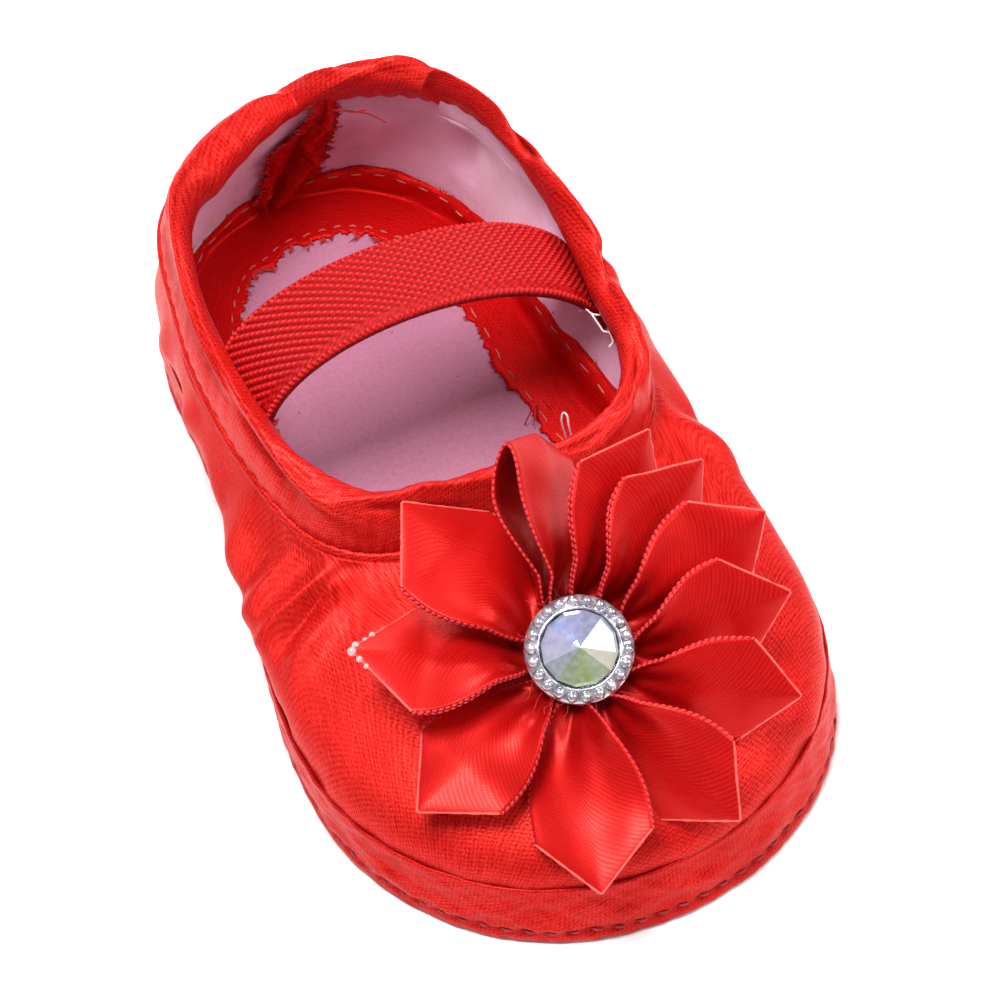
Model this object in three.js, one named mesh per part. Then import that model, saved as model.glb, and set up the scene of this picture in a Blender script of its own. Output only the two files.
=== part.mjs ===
// A soft baby shoe of red satin: flat sole, satin band round its edge, hollow upper, gathered
// collar, elastic strap and a ribbon flower with a stone at its centre.
// Millimetres. The toe points along -Y, the heel along +Y, the floor is z = 0.

import * as THREE from 'three';

// Sole outline
const shoeLength = 120;
const ballWidth = 64.5;
const heelWidth = 48;
const toeArc = 31;
const heelArc = 27.5;
const waistHollow = 1.4;
const sideBend = -1.8;
const sideBendAlong = -5;
const sideBendReach = 48;
const toeFullness = 2.05;
const heelFullness = 2.13;

// Upper, band and boards
const heelHeight = 34.5;
const upperWall = 1.6;
const bandHeight = 8.2;
const bandWall = 1.6;
const bandInset = 2.4;
const soleThickness = 2.2;
const insoleThickness = 1.6;
const clearance = 0.3;

// Collar
const collarWidth = 8.5;
const collarThickness = 3;
const collarShift = 1;
const notchPlace = 4.6;
const notchDepth = 4;
const notchWidth = 3;
const notchSlackWidth = 13;

// Elastic strap
const strapWidth = 11.3;
const strapThickness = 1.3;
const strapAlong = 13.4;
const strapGap = 0.5;
const strapRightTuck = 3;
const strapRightPeak = 40;
const strapRightLean = 5.8;
const strapLeftTuck = -3;
const strapLeftPeak = 41.6;
const strapLeftLean = 2.2;

// Satin tapes inside
const tapeThickness = 0.6;
const tapeOnFloor = 7;
const tapeOnWall = 5.5;
const backTapeWidth = 6;

// Ribbon flower: its centre on the vamp (share of the way from the toe's band to the collar,
// then distances aside and above) and the way it faces, then its loops
const flowerPlaceRatio = 0.656;
const flowerAside = -1.5;
const flowerStand = 4.3;
const flowerTurn = -9;
const flowerTilt = 26;
const flowerReach = 27;
const ribbonWidth = 16;
const ribbonThickness = 0.6;
const ribbonGather = 1.1;
const loopGap = 2.2;
const pinchGap = 0.9;
const cupDepth = 1.2;
const gatherRadius = 5.6;

// Stone and its setting
const settingDiameter = 13;
const settingHeight = 2.2;
const settingRise = 2.7;
const stoneDiameter = 9;
const stoneHeight = 2.4;
const stoneSides = 12;

// Facets
const stations = 80;
const wallSteps = 8;

// One row for each section, from the middle of the heel to the middle of the toe, evenly
// spaced along the half outline of the sole. along: the collar seam's place from mid-shoe
// (share of shoeLength). out: its distance from the middle (share of ballWidth). up: its height
// (share of heelHeight). tilt: degrees below level at which the wall leaves the seam. topPull:
// how far the wall keeps that direction (share of heelHeight). stand: degrees inwards from
// upright at which the collar stands.
const sections = [
  { along: 0.445, out: 0, up: 0.77, tilt: 76, topPull: 0.2, stand: 14 },
  { along: 0.385, out: 0.29, up: 0.74, tilt: 76, topPull: 0.2, stand: 12 },
  { along: 0.245, out: 0.388, up: 0.7, tilt: 76, topPull: 0.2, stand: 10 },
  { along: 0.095, out: 0.402, up: 0.64, tilt: 68, topPull: 0.22, stand: 10 },
  { along: -0.042, out: 0.355, up: 0.6, tilt: 40, topPull: 0.25, stand: 14 },
  { along: -0.106, out: 0.205, up: 0.61, tilt: 20, topPull: 0.38, stand: 22 },
  { along: -0.127, out: 0, up: 0.62, tilt: 12, topPull: 0.52, stand: 24 },
];

// The same sections where the wall stands on the band. footPull: as topPull, at this end.
// flare: degrees outwards from upright at which it leaves the band. lean: inset of the band's
// top edge (share of bandInset).
const feet = [
  { footPull: 0.26, flare: 4, lean: 0.4 },
  { footPull: 0.26, flare: 6, lean: 0.3 },
  { footPull: 0.24, flare: 14, lean: 0.2 },
  { footPull: 0.24, flare: 26, lean: 0 },
  { footPull: 0.22, flare: 2, lean: 0.2 },
  { footPull: 0.26, flare: 4, lean: 0.8 },
  { footPull: 0.26, flare: 0, lean: 1 },
];

// One row for each ribbon loop, counterclockwise from the first one behind the toe's +X side.
// angle: where its tip lies round the flower (degrees). reach: its length (share of
// flowerReach). bank: degrees by which its counterclockwise edge is raised over the next loop.
// lift: degrees by which its tip is raised.
const petals = [
  { angle: 13, reach: 1, bank: 38, lift: 5 },
  { angle: 36, reach: 1.01, bank: 45, lift: 7 },
  { angle: 50, reach: 1, bank: 54, lift: 10 },
  { angle: 77, reach: 0.98, bank: 56, lift: 10 },
  { angle: 117, reach: 0.99, bank: 21, lift: 6 },
  { angle: 155, reach: 0.99, bank: 18, lift: 5 },
  { angle: 201, reach: 0.98, bank: 18, lift: 10 },
  { angle: 250, reach: 1.05, bank: 15, lift: 16.5 },
  { angle: 289, reach: 1.01, bank: 18, lift: 18 },
  { angle: 325, reach: 0.98, bank: 26, lift: 10 },
  { angle: 352, reach: 0.96, bank: 35, lift: 7 },
];

const satin = new THREE.MeshStandardMaterial({ color: 0xd01a1c, roughness: 0.42 });
const bandSatin = new THREE.MeshStandardMaterial({ color: 0xc4171a, roughness: 0.45 });
const elastic = new THREE.MeshStandardMaterial({ color: 0xc01318, roughness: 0.75 });
const board = new THREE.MeshStandardMaterial({ color: 0xac6880, roughness: 0.8 });
const ribbonSatin = new THREE.MeshStandardMaterial({ color: 0xd8141c, roughness: 0.35 });
const silverPlastic = new THREE.MeshStandardMaterial({
  color: 0xc9c6d0, roughness: 0.2, metalness: 0.6 });
const stonePlastic = new THREE.MeshStandardMaterial({
  color: 0xb9c6e6, roughness: 0.05, metalness: 0.3 });
const soleFabric = new THREE.MeshStandardMaterial({ color: 0xb81418, roughness: 0.85 });

const shoe = new THREE.Group();

function add(name, geometry, material) {
  const mesh = new THREE.Mesh(geometry, material);
  mesh.name = name;
  shoe.add(mesh);
  return mesh;
}

// The sole's outline seen from above: a rounded heel, straight sides that widen to the ball,
// and a rounded toe. It starts at the middle of the heel and runs by the +X side.
class SoleOutline extends THREE.Curve {
  getPoint(t, target = new THREE.Vector3()) {
    const half = t <= 0.5 ? t * 2 : (1 - t) * 2;
    const side = t <= 0.5 ? 1 : -1;
    const heelLine = shoeLength / 2 - heelArc;
    const ballLine = -shoeLength / 2 + toeArc;
    let out = 0;
    let along = 0;
    if (half < 1 / 3) {
      const angle = half * 3 * Math.PI / 2;
      out = heelWidth / 2 * Math.sin(angle) ** (2 / heelFullness);
      along = heelLine + heelArc * Math.cos(angle) ** (2 / heelFullness);
    } else if (half <= 2 / 3) {
      const run = half * 3 - 1;
      out = THREE.MathUtils.lerp(heelWidth, ballWidth, THREE.MathUtils.smoothstep(run, 0, 1)) / 2;
      out -= waistHollow * Math.sin(Math.PI * run) ** 2;
      along = THREE.MathUtils.lerp(heelLine, ballLine, run);
    } else {
      const angle = Math.min((half * 3 - 2) * Math.PI / 2, Math.PI / 2);
      out = ballWidth / 2 * Math.max(Math.cos(angle), 0) ** (2 / toeFullness);
      along = ballLine - toeArc * Math.sin(angle) ** (2 / toeFullness);
    }
    const bend = THREE.MathUtils.clamp((along - sideBendAlong) / sideBendReach, -1, 1) * Math.PI / 2;
    return target.set(side * out + sideBend * Math.cos(bend) ** 2, along, 0);
  }
}

const outline = new SoleOutline();
outline.arcLengthDivisions = 1200;

// Outward direction of the outline, level with the floor.
function outlineNormal(share) {
  const tangent = outline.getTangentAt(THREE.MathUtils.euclideanModulo(share, 1));
  return new THREE.Vector3(-tangent.y, tangent.x, 0);
}

function outlinePoint(share, inset, height) {
  const point = outline.getPointAt(THREE.MathUtils.euclideanModulo(share, 1));
  point.addScaledVector(outlineNormal(share), -inset);
  point.z = height;
  return point;
}

// A closed curve through the rows of a table, mirrored over the middle of the shoe.
// pick turns a row and its side (1 or -1) into a vector.
function roundTheShoe(table, pick) {
  const there = table.map((row) => pick(row, 1));
  const back = table.slice(1, -1).reverse().map((row) => pick(row, -1));
  return new THREE.CatmullRomCurve3([...there, ...back], true, 'catmullrom', 0.5);
}

const seamCurve = roundTheShoe(sections, (row, side) => new THREE.Vector3(
  side * row.out * ballWidth + collarShift, row.along * shoeLength, row.up * heelHeight));
const topCurve = roundTheShoe(sections, (row) => new THREE.Vector3(
  row.tilt, row.topPull * heelHeight, row.stand));
const footCurve = roundTheShoe(feet, (row) => new THREE.Vector3(
  row.flare, row.footPull * heelHeight, row.lean * bandInset));

function at(curve, share) {
  return curve.getPoint(THREE.MathUtils.euclideanModulo(share, 1));
}

// Direction of the wall where it meets the collar seam, pointing up and inwards.
function seamDirection(share) {
  const tilt = THREE.MathUtils.degToRad(at(topCurve, share).x);
  const seam = at(seamCurve, share);
  const towardsFoot = outlinePoint(share, 0, 0).sub(seam).setZ(0).normalize();
  const outwards = towardsFoot.add(outlineNormal(share)).normalize();
  return outwards.multiplyScalar(-Math.cos(tilt)).setZ(Math.sin(tilt));
}

// Outer surface of the upper: at each share of the outline one curve rises from the band's
// top edge (rise 0) to the collar seam (rise 1), with a direction and a pull at either end.
function skin(share, rise) {
  const { x: flare, y: footPull, z: lean } = at(footCurve, share);
  const topPull = at(topCurve, share).y;
  const foot = outlinePoint(share, lean, bandHeight + clearance);
  const seam = at(seamCurve, share);
  const flareAngle = THREE.MathUtils.degToRad(flare);
  const outwards = outlineNormal(share).multiplyScalar(Math.sin(flareAngle));
  const footDirection = outwards.setZ(Math.cos(flareAngle));
  const curve = new THREE.CubicBezierCurve3(
    foot,
    foot.clone().addScaledVector(footDirection, footPull),
    seam.clone().addScaledVector(seamDirection(share), -topPull),
    seam,
  );
  return curve.getPoint(rise);
}

// The surface moved inwards by depth, square to itself.
function skinInside(share, rise, depth) {
  const step = 0.004;
  const low = Math.max(rise - step, 0);
  const high = Math.min(rise + step, 1);
  const around = skin(share + step, rise).sub(skin(share - step, rise));
  const upwards = skin(share, high).sub(skin(share, low));
  const inwards = around.cross(upwards).normalize();
  return skin(share, rise).addScaledVector(inwards, depth);
}

// A closed ring: the same number of section points at every station, joined round the shoe.
function ringGeometry(sectionAt, count = stations) {
  const rings = Array.from({ length: count }, (_, i) => sectionAt(i / count));
  const size = rings[0].length;
  const positions = rings.flat().flatMap((p) => [p.x, p.y, p.z]);
  const index = [];
  for (let i = 0; i < count; i++) {
    const next = (i + 1) % count;
    for (let j = 0; j < size; j++) {
      const k = (j + 1) % size;
      const [a, b, c, d] = [i * size + j, i * size + k, next * size + k, next * size + j];
      index.push(a, b, c, a, c, d);
    }
  }
  return indexed(positions, index);
}

// A closed sheet: two grids of points of the same size, joined along their four edges.
function sheetGeometry(front, back) {
  const rows = front.length;
  const columns = front[0].length;
  const positions = [...front.flat(), ...back.flat()].flatMap((p) => [p.x, p.y, p.z]);
  const index = [];
  const half = rows * columns;
  const quad = (a, b, c, d) => index.push(a, b, c, a, c, d);
  for (let i = 0; i < rows - 1; i++) {
    for (let j = 0; j < columns - 1; j++) {
      const a = i * columns + j;
      quad(a, a + 1, a + columns + 1, a + columns);
      quad(half + a, half + a + columns, half + a + columns + 1, half + a + 1);
    }
  }
  const border = [];
  for (let j = 0; j < columns - 1; j++) border.push(j);
  for (let i = 0; i < rows - 1; i++) border.push(i * columns + columns - 1);
  for (let j = columns - 1; j > 0; j--) border.push((rows - 1) * columns + j);
  for (let i = rows - 1; i > 0; i--) border.push(i * columns);
  border.forEach((a, n) => {
    const b = border[(n + 1) % border.length];
    quad(b, a, half + a, half + b);
  });
  return indexed(positions, index);
}

function indexed(positions, index) {
  const geometry = new THREE.BufferGeometry();
  geometry.setAttribute('position', new THREE.Float32BufferAttribute(positions, 3));
  geometry.setIndex(index);
  geometry.computeVertexNormals();
  return geometry;
}

// A flat plate with the sole's outline, inset by a distance that may change along the outline.
function plateGeometry(insetAt, thickness) {
  const shares = Array.from({ length: stations }, (_, i) => i / stations);
  const points = shares.map((share) => outlinePoint(share, insetAt(share), 0));
  const shape = new THREE.Shape(points.map((p) => new THREE.Vector2(p.x, p.y)));
  return new THREE.ExtrudeGeometry(shape, { depth: thickness, bevelEnabled: false });
}

// Inner face of the band at a height above the floor, as an inset from the outline.
function bandInnerInset(share, height) {
  return at(footCurve, share).z * height / bandHeight + bandWall;
}

const insoleBottom = soleThickness + clearance;
const insoleTop = insoleBottom + insoleThickness;

// Outsole: one flat layer, with the band wrapped round its edge.
add('outsole', plateGeometry(
  (share) => bandInnerInset(share, soleThickness) + clearance, soleThickness), soleFabric);

// Insole board, laid on the outsole inside the band.
const insole = add('insole', plateGeometry(
  (share) => bandInnerInset(share, insoleTop) + clearance, insoleThickness), board);
insole.position.z = insoleBottom;

// Satin band round the edge of the sole, leaning inwards at the toe.
add('band', ringGeometry((share) => {
  const lean = at(footCurve, share).z;
  return [
    outlinePoint(share, 0, clearance),
    outlinePoint(share, lean / 2 - lean / 8, bandHeight / 2),
    outlinePoint(share, lean, bandHeight),
    outlinePoint(share, lean + bandWall, bandHeight),
    outlinePoint(share, bandWall, clearance),
  ];
}), bandSatin);

// Upper: one hollow wall from the band to the collar seam, open above and below.
add('upper', ringGeometry((share) => {
  const rises = Array.from({ length: wallSteps + 1 }, (_, i) => i / wallSteps);
  const outer = rises.map((rise) => skin(share, rise));
  const inner = rises.map((rise) => skinInside(share, rise, upperWall));
  return [...outer, ...inner.reverse()];
}), satin);

// Collar: the satin casing of an elastic, standing on the upper's edge, with a pinched notch
// where its ends meet behind the heel.
const seamLength = seamCurve.getLength();
const notchShare = notchPlace / seamLength;

function collarHeightAt(share) {
  const fromHeel = share > 0.5 ? share - 1 : share;
  const distance = (fromHeel - notchShare) * seamLength;
  const width = distance > 0 ? notchWidth : notchSlackWidth;
  return collarWidth - notchDepth * Math.exp(-((distance / width) ** 2));
}

// Middle of the collar's lower edge, with the way up the collar and the way into the opening.
function collarFrame(share) {
  const wallDirection = seamDirection(share);
  const inwards = new THREE.Vector3(wallDirection.x, wallDirection.y, 0).normalize();
  const stand = THREE.MathUtils.degToRad(at(topCurve, share).z);
  const upright = inwards.clone().multiplyScalar(Math.sin(stand)).setZ(Math.cos(stand));
  const across = inwards.clone().multiplyScalar(Math.cos(stand)).setZ(-Math.sin(stand));
  const turned = Math.abs(across.dot(wallDirection)) * collarThickness / 2;
  const foot = skinInside(share, 1, upperWall / 2).addScaledVector(wallDirection, clearance + turned);
  return { foot, upright, across };
}

// A point on the collar: height up from its lower edge, depth from its middle into the opening.
function collarPoint(share, height, depth) {
  const { foot, upright, across } = collarFrame(share);
  return foot.addScaledVector(upright, height).addScaledVector(across, depth);
}

function collarSection(share) {
  const height = collarHeightAt(share);
  const sides = 10;
  return Array.from({ length: sides }, (_, i) => {
    const angle = (i + 0.5) / sides * Math.PI * 2;
    const wide = Math.sign(Math.cos(angle)) * Math.abs(Math.cos(angle)) ** 0.8;
    const tall = Math.sign(Math.sin(angle)) * Math.abs(Math.sin(angle)) ** 0.6;
    return collarPoint(share, height / 2 * (1 + tall), collarThickness / 2 * -wide);
  });
}

add('collar_binding', ringGeometry(collarSection), satin);

// Satin tape over the inner seam: an angle strip that lies on the insole and turns up the wall.
const tapeFloor = insoleTop + clearance;
add('seam_tape', ringGeometry((share) => {
  const cornerInset = bandInnerInset(share, tapeFloor) + clearance;
  const wallGap = upperWall + clearance;
  const rise = tapeOnWall / heelHeight;
  return [
    outlinePoint(share, cornerInset, tapeFloor),
    skinInside(share, 0, wallGap),
    skinInside(share, rise, wallGap),
    skinInside(share, rise, wallGap + tapeThickness),
    skinInside(share, 0, wallGap + tapeThickness),
    outlinePoint(share, cornerInset + tapeThickness, tapeFloor + tapeThickness),
    outlinePoint(share, cornerInset + tapeOnFloor, tapeFloor + tapeThickness),
    outlinePoint(share, cornerInset + tapeOnFloor, tapeFloor),
  ];
}), satin);

// Seam allowance behind the heel: a strip of satin up the inner wall, from the middle of the
// tape to the notch of the collar.
function backTapeGrid(depth) {
  const rises = [0.3, 0.46, 0.62, 0.78, 0.95];
  return rises.map((rise) => [-0.5, -0.25, 0, 0.25, 0.5].map((across) => skinInside(
    notchShare * rise + across * backTapeWidth / seamLength, rise, depth)));
}
add('back_seam_tape', sheetGeometry(
  backTapeGrid(upperWall + clearance + tapeThickness),
  backTapeGrid(upperWall + clearance),
), satin);

// Elastic strap: an arch over the opening, with each end sewn inside the collar.
function collarShareAt(along, side) {
  let near = 0.15;
  let far = 0.42;
  while (far - near > 1e-5) {
    const mid = (near + far) / 2;
    if (collarPoint(side > 0 ? mid : 1 - mid, 0, 0).y > along) near = mid;
    else far = mid;
  }
  return side > 0 ? near : 1 - near;
}

function strapGrid(offset) {
  const depth = collarThickness / 2 + strapGap + strapThickness / 2;
  const steps = 20;
  const arches = [-1, 0, 1].map((across) => {
    const along = strapAlong + across * strapWidth / 2;
    const right = collarPoint(collarShareAt(along, 1), -strapRightTuck, depth);
    const left = collarPoint(collarShareAt(along, -1), -strapLeftTuck, depth);
    return new THREE.CubicBezierCurve3(
      right,
      new THREE.Vector3(right.x - strapRightLean, right.y, strapRightPeak),
      new THREE.Vector3(left.x + strapLeftLean, left.y, strapLeftPeak),
      left,
    );
  });
  return Array.from({ length: steps + 1 }, (_, i) => arches.map((arch) => {
    const outwards = new THREE.Vector3(0, 1, 0).cross(arch.getTangent(i / steps)).normalize();
    return arch.getPoint(i / steps).addScaledVector(outwards, offset);
  }));
}
add('strap', sheetGeometry(strapGrid(strapThickness / 2), strapGrid(-strapThickness / 2)), elastic);

// Flower: a frame whose z axis is the way the flower faces.
const flower = new THREE.Group();
flower.position.copy(skin(0.5, flowerPlaceRatio)).add(new THREE.Vector3(flowerAside, 0, flowerStand));
flower.rotation.set(THREE.MathUtils.degToRad(flowerTilt), THREE.MathUtils.degToRad(flowerTurn), 0);
shoe.add(flower);

// One face of a ribbon loop: a flat drop seen from its side, pinched at the flower's centre,
// with a right-angled point at its tip and a trough along its middle. The ribbon runs from the
// centre out along the lower layer (turn 0), round the tip (turn 0.5) and back (turn 1).
function loopGrid(row, index, offset) {
  const startAngle = THREE.MathUtils.degToRad(petals[0].angle + index / petals.length * 360);
  const start = new THREE.Vector3(Math.cos(startAngle), Math.sin(startAngle), 0);
  start.multiplyScalar(gatherRadius);
  const tipAngle = THREE.MathUtils.degToRad(row.angle);
  const reach = row.reach * flowerReach;
  const tip = new THREE.Vector3(Math.cos(tipAngle) * reach, Math.sin(tipAngle) * reach, 0);
  const length = tip.distanceTo(start);
  const axis = tip.clone().sub(start).normalize();
  const side = new THREE.Vector3(-axis.y, axis.x, 0);
  side.applyAxisAngle(axis, THREE.MathUtils.degToRad(row.bank));
  const lift = THREE.MathUtils.degToRad(row.lift);
  axis.applyAxisAngle(new THREE.Vector3(-axis.y, axis.x, 0), -lift);
  const up = axis.clone().cross(side);
  const turns = 12;
  return Array.from({ length: turns + 1 }, (_, i) => {
    const angle = Math.PI * i / turns;
    const out = Math.sin(angle) ** 0.6;
    return [-1, -0.5, 0, 0.5, 1].map((across) => {
      const along = out * (length + offset - Math.abs(across) * ribbonWidth / 2);
      const opened = THREE.MathUtils.smoothstep(along, 0, length - ribbonWidth / 2);
      const half = THREE.MathUtils.lerp(ribbonGather, ribbonWidth, opened) / 2;
      const trough = cupDepth * (1 - opened) * across ** 2;
      const gap = THREE.MathUtils.lerp(pinchGap, loopGap, opened);
      return start.clone()
        .addScaledVector(axis, along)
        .addScaledVector(side, across * half)
        .addScaledVector(up, trough - Math.cos(angle) * (gap / 2 + offset));
    });
  });
}

petals.forEach((row, index) => {
  const loop = add(`petal_${String(index + 1).padStart(2, '0')}`, sheetGeometry(
    loopGrid(row, index, ribbonThickness / 2),
    loopGrid(row, index, -ribbonThickness / 2),
  ), ribbonSatin);
  flower.add(loop);
});

// Setting: a round cup that holds the stone, glued on the gathered middle of the flower.
const seatRadius = stoneDiameter / 2 + clearance;
const setting = add('stone_setting', new THREE.LatheGeometry([
  new THREE.Vector2(0, 0),
  new THREE.Vector2(settingDiameter / 2 - 0.6, 0),
  new THREE.Vector2(settingDiameter / 2, settingHeight / 2),
  new THREE.Vector2(settingDiameter / 2 - 0.6, settingHeight),
  new THREE.Vector2(seatRadius, settingHeight),
  new THREE.Vector2(seatRadius, settingHeight / 2),
  new THREE.Vector2(0, settingHeight / 2),
], 24), silverPlastic);
setting.rotation.x = Math.PI / 2;
setting.position.z = settingRise;
flower.add(setting);

// Stone: a low cone of flat facets over a short round girdle.
const girdleHeight = stoneHeight / 3;
const stone = add('stone', new THREE.LatheGeometry([
  new THREE.Vector2(0, 0),
  new THREE.Vector2(stoneDiameter / 2, 0),
  new THREE.Vector2(stoneDiameter / 2, girdleHeight),
  new THREE.Vector2(0, stoneHeight),
], stoneSides), stonePlastic);
stone.rotation.x = Math.PI / 2;
stone.position.z = settingRise + settingHeight / 2 + clearance;
flower.add(stone);

// The origin is on the floor, under the middle of the whole shoe.
const middle = new THREE.Box3().setFromObject(shoe, true).getCenter(new THREE.Vector3());
shoe.position.set(-middle.x, -middle.y, 0);

export default shoe;
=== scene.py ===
"""Soft baby shoe of red satin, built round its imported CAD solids.

Shapes are worked out in millimetres with the toe along -Y and the heel along +Y, and are
turned into metres, in the row frame, as each piece is made.
"""

import bmesh
import bpy
import numpy as np
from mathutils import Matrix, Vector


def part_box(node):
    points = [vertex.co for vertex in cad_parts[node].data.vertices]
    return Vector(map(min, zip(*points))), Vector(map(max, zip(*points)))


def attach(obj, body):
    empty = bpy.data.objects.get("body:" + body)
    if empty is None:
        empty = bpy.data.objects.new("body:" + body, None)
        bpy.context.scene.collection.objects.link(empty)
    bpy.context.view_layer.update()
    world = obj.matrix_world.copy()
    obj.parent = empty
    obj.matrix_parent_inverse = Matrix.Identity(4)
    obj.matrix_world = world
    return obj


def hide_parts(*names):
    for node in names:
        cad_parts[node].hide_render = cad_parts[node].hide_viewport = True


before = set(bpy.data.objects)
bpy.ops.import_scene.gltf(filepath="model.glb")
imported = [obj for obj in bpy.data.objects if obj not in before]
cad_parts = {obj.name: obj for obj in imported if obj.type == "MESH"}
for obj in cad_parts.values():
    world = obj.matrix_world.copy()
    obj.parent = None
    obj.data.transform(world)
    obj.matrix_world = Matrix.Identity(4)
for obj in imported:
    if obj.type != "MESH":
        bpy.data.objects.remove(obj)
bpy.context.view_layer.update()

# Camera, light and floor. The camera looks down on the shoe from in front of the toe, with the
# shoe turned a little to the right, as in the photograph. A soft light hangs over the shoe, a
# weaker one stands beyond the heel and one at the right front, and the room is white.
EYE = (-0.11437, -0.294288, 0.460023)
LOOKS = np.array([0.21656, 0.53128, -0.81905])
CAMERA_RIGHT = np.array([0.89852, -0.43655, -0.04559])
LENS, SENSOR_WIDTH = 161.37, 36
LIT_PLACE = (0, 0, 0.02)
camera_data = bpy.data.cameras.new("camera")
camera_data.lens, camera_data.sensor_width = LENS, SENSOR_WIDTH
camera = bpy.data.objects.new("camera", camera_data)
bpy.context.scene.collection.objects.link(camera)
bpy.context.scene.camera = camera


def stand(thing, right, back, place):
    """Puts a camera or light at place, with its own x along right and its z along back."""
    pose = np.eye(4)
    pose[:3, 0], pose[:3, 1], pose[:3, 2] = right, np.cross(back, right), back
    pose[:3, 3] = place
    thing.matrix_world = pose.T.tolist()


stand(camera, CAMERA_RIGHT, -LOOKS, EYE)


def soft_light(name, place, size, power):
    """A square area light that faces the middle of the shoe."""
    data = bpy.data.lights.new(name, "AREA")
    data.size = size
    data.energy = power
    light = bpy.data.objects.new(name, data)
    bpy.context.scene.collection.objects.link(light)
    back = np.subtract(place, LIT_PLACE)
    back /= np.linalg.norm(back)
    right = np.cross((0, 1, 0.3), back)
    stand(light, right / np.linalg.norm(right), back, place)


soft_light("window_light", (-0.12, -0.02, 0.62), 0.24, 4.7)
soft_light("heel_light", (0.12, 0.46, 0.42), 0.25, 2.2)
soft_light("side_light", (0.34, -0.22, 0.42), 0.3, 1.5)
room = bpy.data.worlds.new("white_room")
room.use_nodes = True
background = room.node_tree.nodes["Background"].inputs
background["Color"].default_value, background["Strength"].default_value = (1, 1, 1, 1), 0.36
bpy.context.scene.world = room
bpy.context.scene.view_settings.view_transform = "Standard"


def unit(v):
    """Vectors of length 1 in the directions of v."""
    return v / np.maximum(np.linalg.norm(v, axis=-1, keepdims=True), 1e-9)


def grid(points, cloth, close_rows=False, close_columns=False, ends=False):
    """A part of a mesh: quads over a grid of points, with the last row or column joined to the
    first where asked. cloth gives each corner's place on the flat cloth, with one row or column
    more where the grid closes. ends closes both ends of a flat sleeve with strips of quads."""
    rows, columns = points.shape[:2]
    i, j = np.meshgrid(np.arange(rows - (not close_rows)),
                       np.arange(columns - (not close_columns)), indexing="ij")
    i = i.reshape(-1, 1) + [0, 0, 1, 1]
    j = j.reshape(-1, 1) + [0, 1, 1, 0]
    faces = [(i % rows * columns + j % columns, cloth[i, j])]
    if ends:
        near = np.arange(columns // 2 - 1)[:, None]
        strip = np.hstack([near, near + 1, columns - 2 - near, columns - 1 - near])
        faces.append(((rows - 1) * columns + strip, cloth[rows - 1, strip]))
        faces.append((strip[:, ::-1], cloth[0, strip[:, ::-1]]))
    return points.reshape(-1, 3), faces


def piece(name, parts, material, slot=None, nodes=(), merge=False, flat=False, marks=None):
    """A finished piece from its parts: millimetres become metres, each part keeps its own faces,
    and marks are named numbers that the material reads at each point."""
    counts = np.cumsum([0] + [len(p) for p, _ in parts])
    points = np.concatenate([p for p, _ in parts]) + MOVED
    faces = [(c + start, uv) for (_, fs), start in zip(parts, counts) for c, uv in fs]
    mesh = bpy.data.meshes.new(name)
    mesh.vertices.add(len(points))
    mesh.vertices.foreach_set("co", (points / 1000).astype(np.float32).ravel())
    sizes = np.concatenate([np.full(len(c), c.shape[1]) for c, _ in faces])
    mesh.loops.add(int(sizes.sum()))
    corners = np.concatenate([c.ravel() for c, _ in faces])
    mesh.loops.foreach_set("vertex_index", corners.astype(np.int32))
    mesh.polygons.add(len(sizes))
    mesh.polygons.foreach_set("loop_start", (np.cumsum(sizes) - sizes).astype(np.int32))
    mesh.polygons.foreach_set("loop_total", sizes.astype(np.int32))
    flat_places = np.concatenate([uv.reshape(-1, 2) for _, uv in faces])
    mesh.uv_layers.new(name="cloth")
    mesh.uv_layers["cloth"].data.foreach_set("uv", flat_places.astype(np.float32).ravel())
    for mark, values in (marks or {}).items():
        layer = mesh.attributes.new(mark, "FLOAT", "POINT")
        layer.data.foreach_set("value", np.asarray(values, np.float32).ravel())
    mesh.update(calc_edges=True)
    mesh.validate()
    if merge:
        shape = bmesh.new()
        shape.from_mesh(mesh)
        bmesh.ops.remove_doubles(shape, verts=shape.verts, dist=1e-7)
        shape.to_mesh(mesh)
        shape.free()
    mesh.polygons.foreach_set("use_smooth", np.full(len(mesh.polygons), not flat))
    mesh.materials.append(material)
    made = bpy.data.objects.new(name, mesh)
    bpy.context.scene.collection.objects.link(made)
    if slot:
        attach(made, "root")
    if nodes:
        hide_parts(*nodes)
    return made


def finish(name):
    """A new material, its node tree and its shader."""
    material = bpy.data.materials.new(name)
    material.use_nodes = True
    tree = material.node_tree
    return material, tree, tree.nodes["Principled BSDF"]


def add(tree, kind, inputs=None, **settings):
    """A new node: settings are its own, inputs are numbers or other nodes' outputs."""
    made = tree.nodes.new(kind)
    for key, value in settings.items():
        setattr(made, key, value)
    for key, value in (inputs or {}).items():
        if isinstance(value, bpy.types.NodeSocket):
            tree.links.new(value, made.inputs[key])
        else:
            made.inputs[key].default_value = value
    return made


def sums(tree, operation, a, b=0.0, c=0.0):
    """The result of one sum on two or three values."""
    return add(tree, "ShaderNodeMath", {0: a, 1: b, 2: c}, operation=operation).outputs[0]


def blend(tree, share, a, b):
    """Colour a turned towards colour b by share."""
    return add(tree, "ShaderNodeMix", {0: share, 6: a, 7: b}, data_type="RGBA").outputs[2]


def noise(tree, place, scale, detail=2.0, roughness=0.5):
    """Uneven grey cloud, about 0.3 to 0.7."""
    return add(tree, "ShaderNodeTexNoise", {
        "Vector": place, "Scale": scale, "Detail": detail, "Roughness": roughness}).outputs["Fac"]


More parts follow.
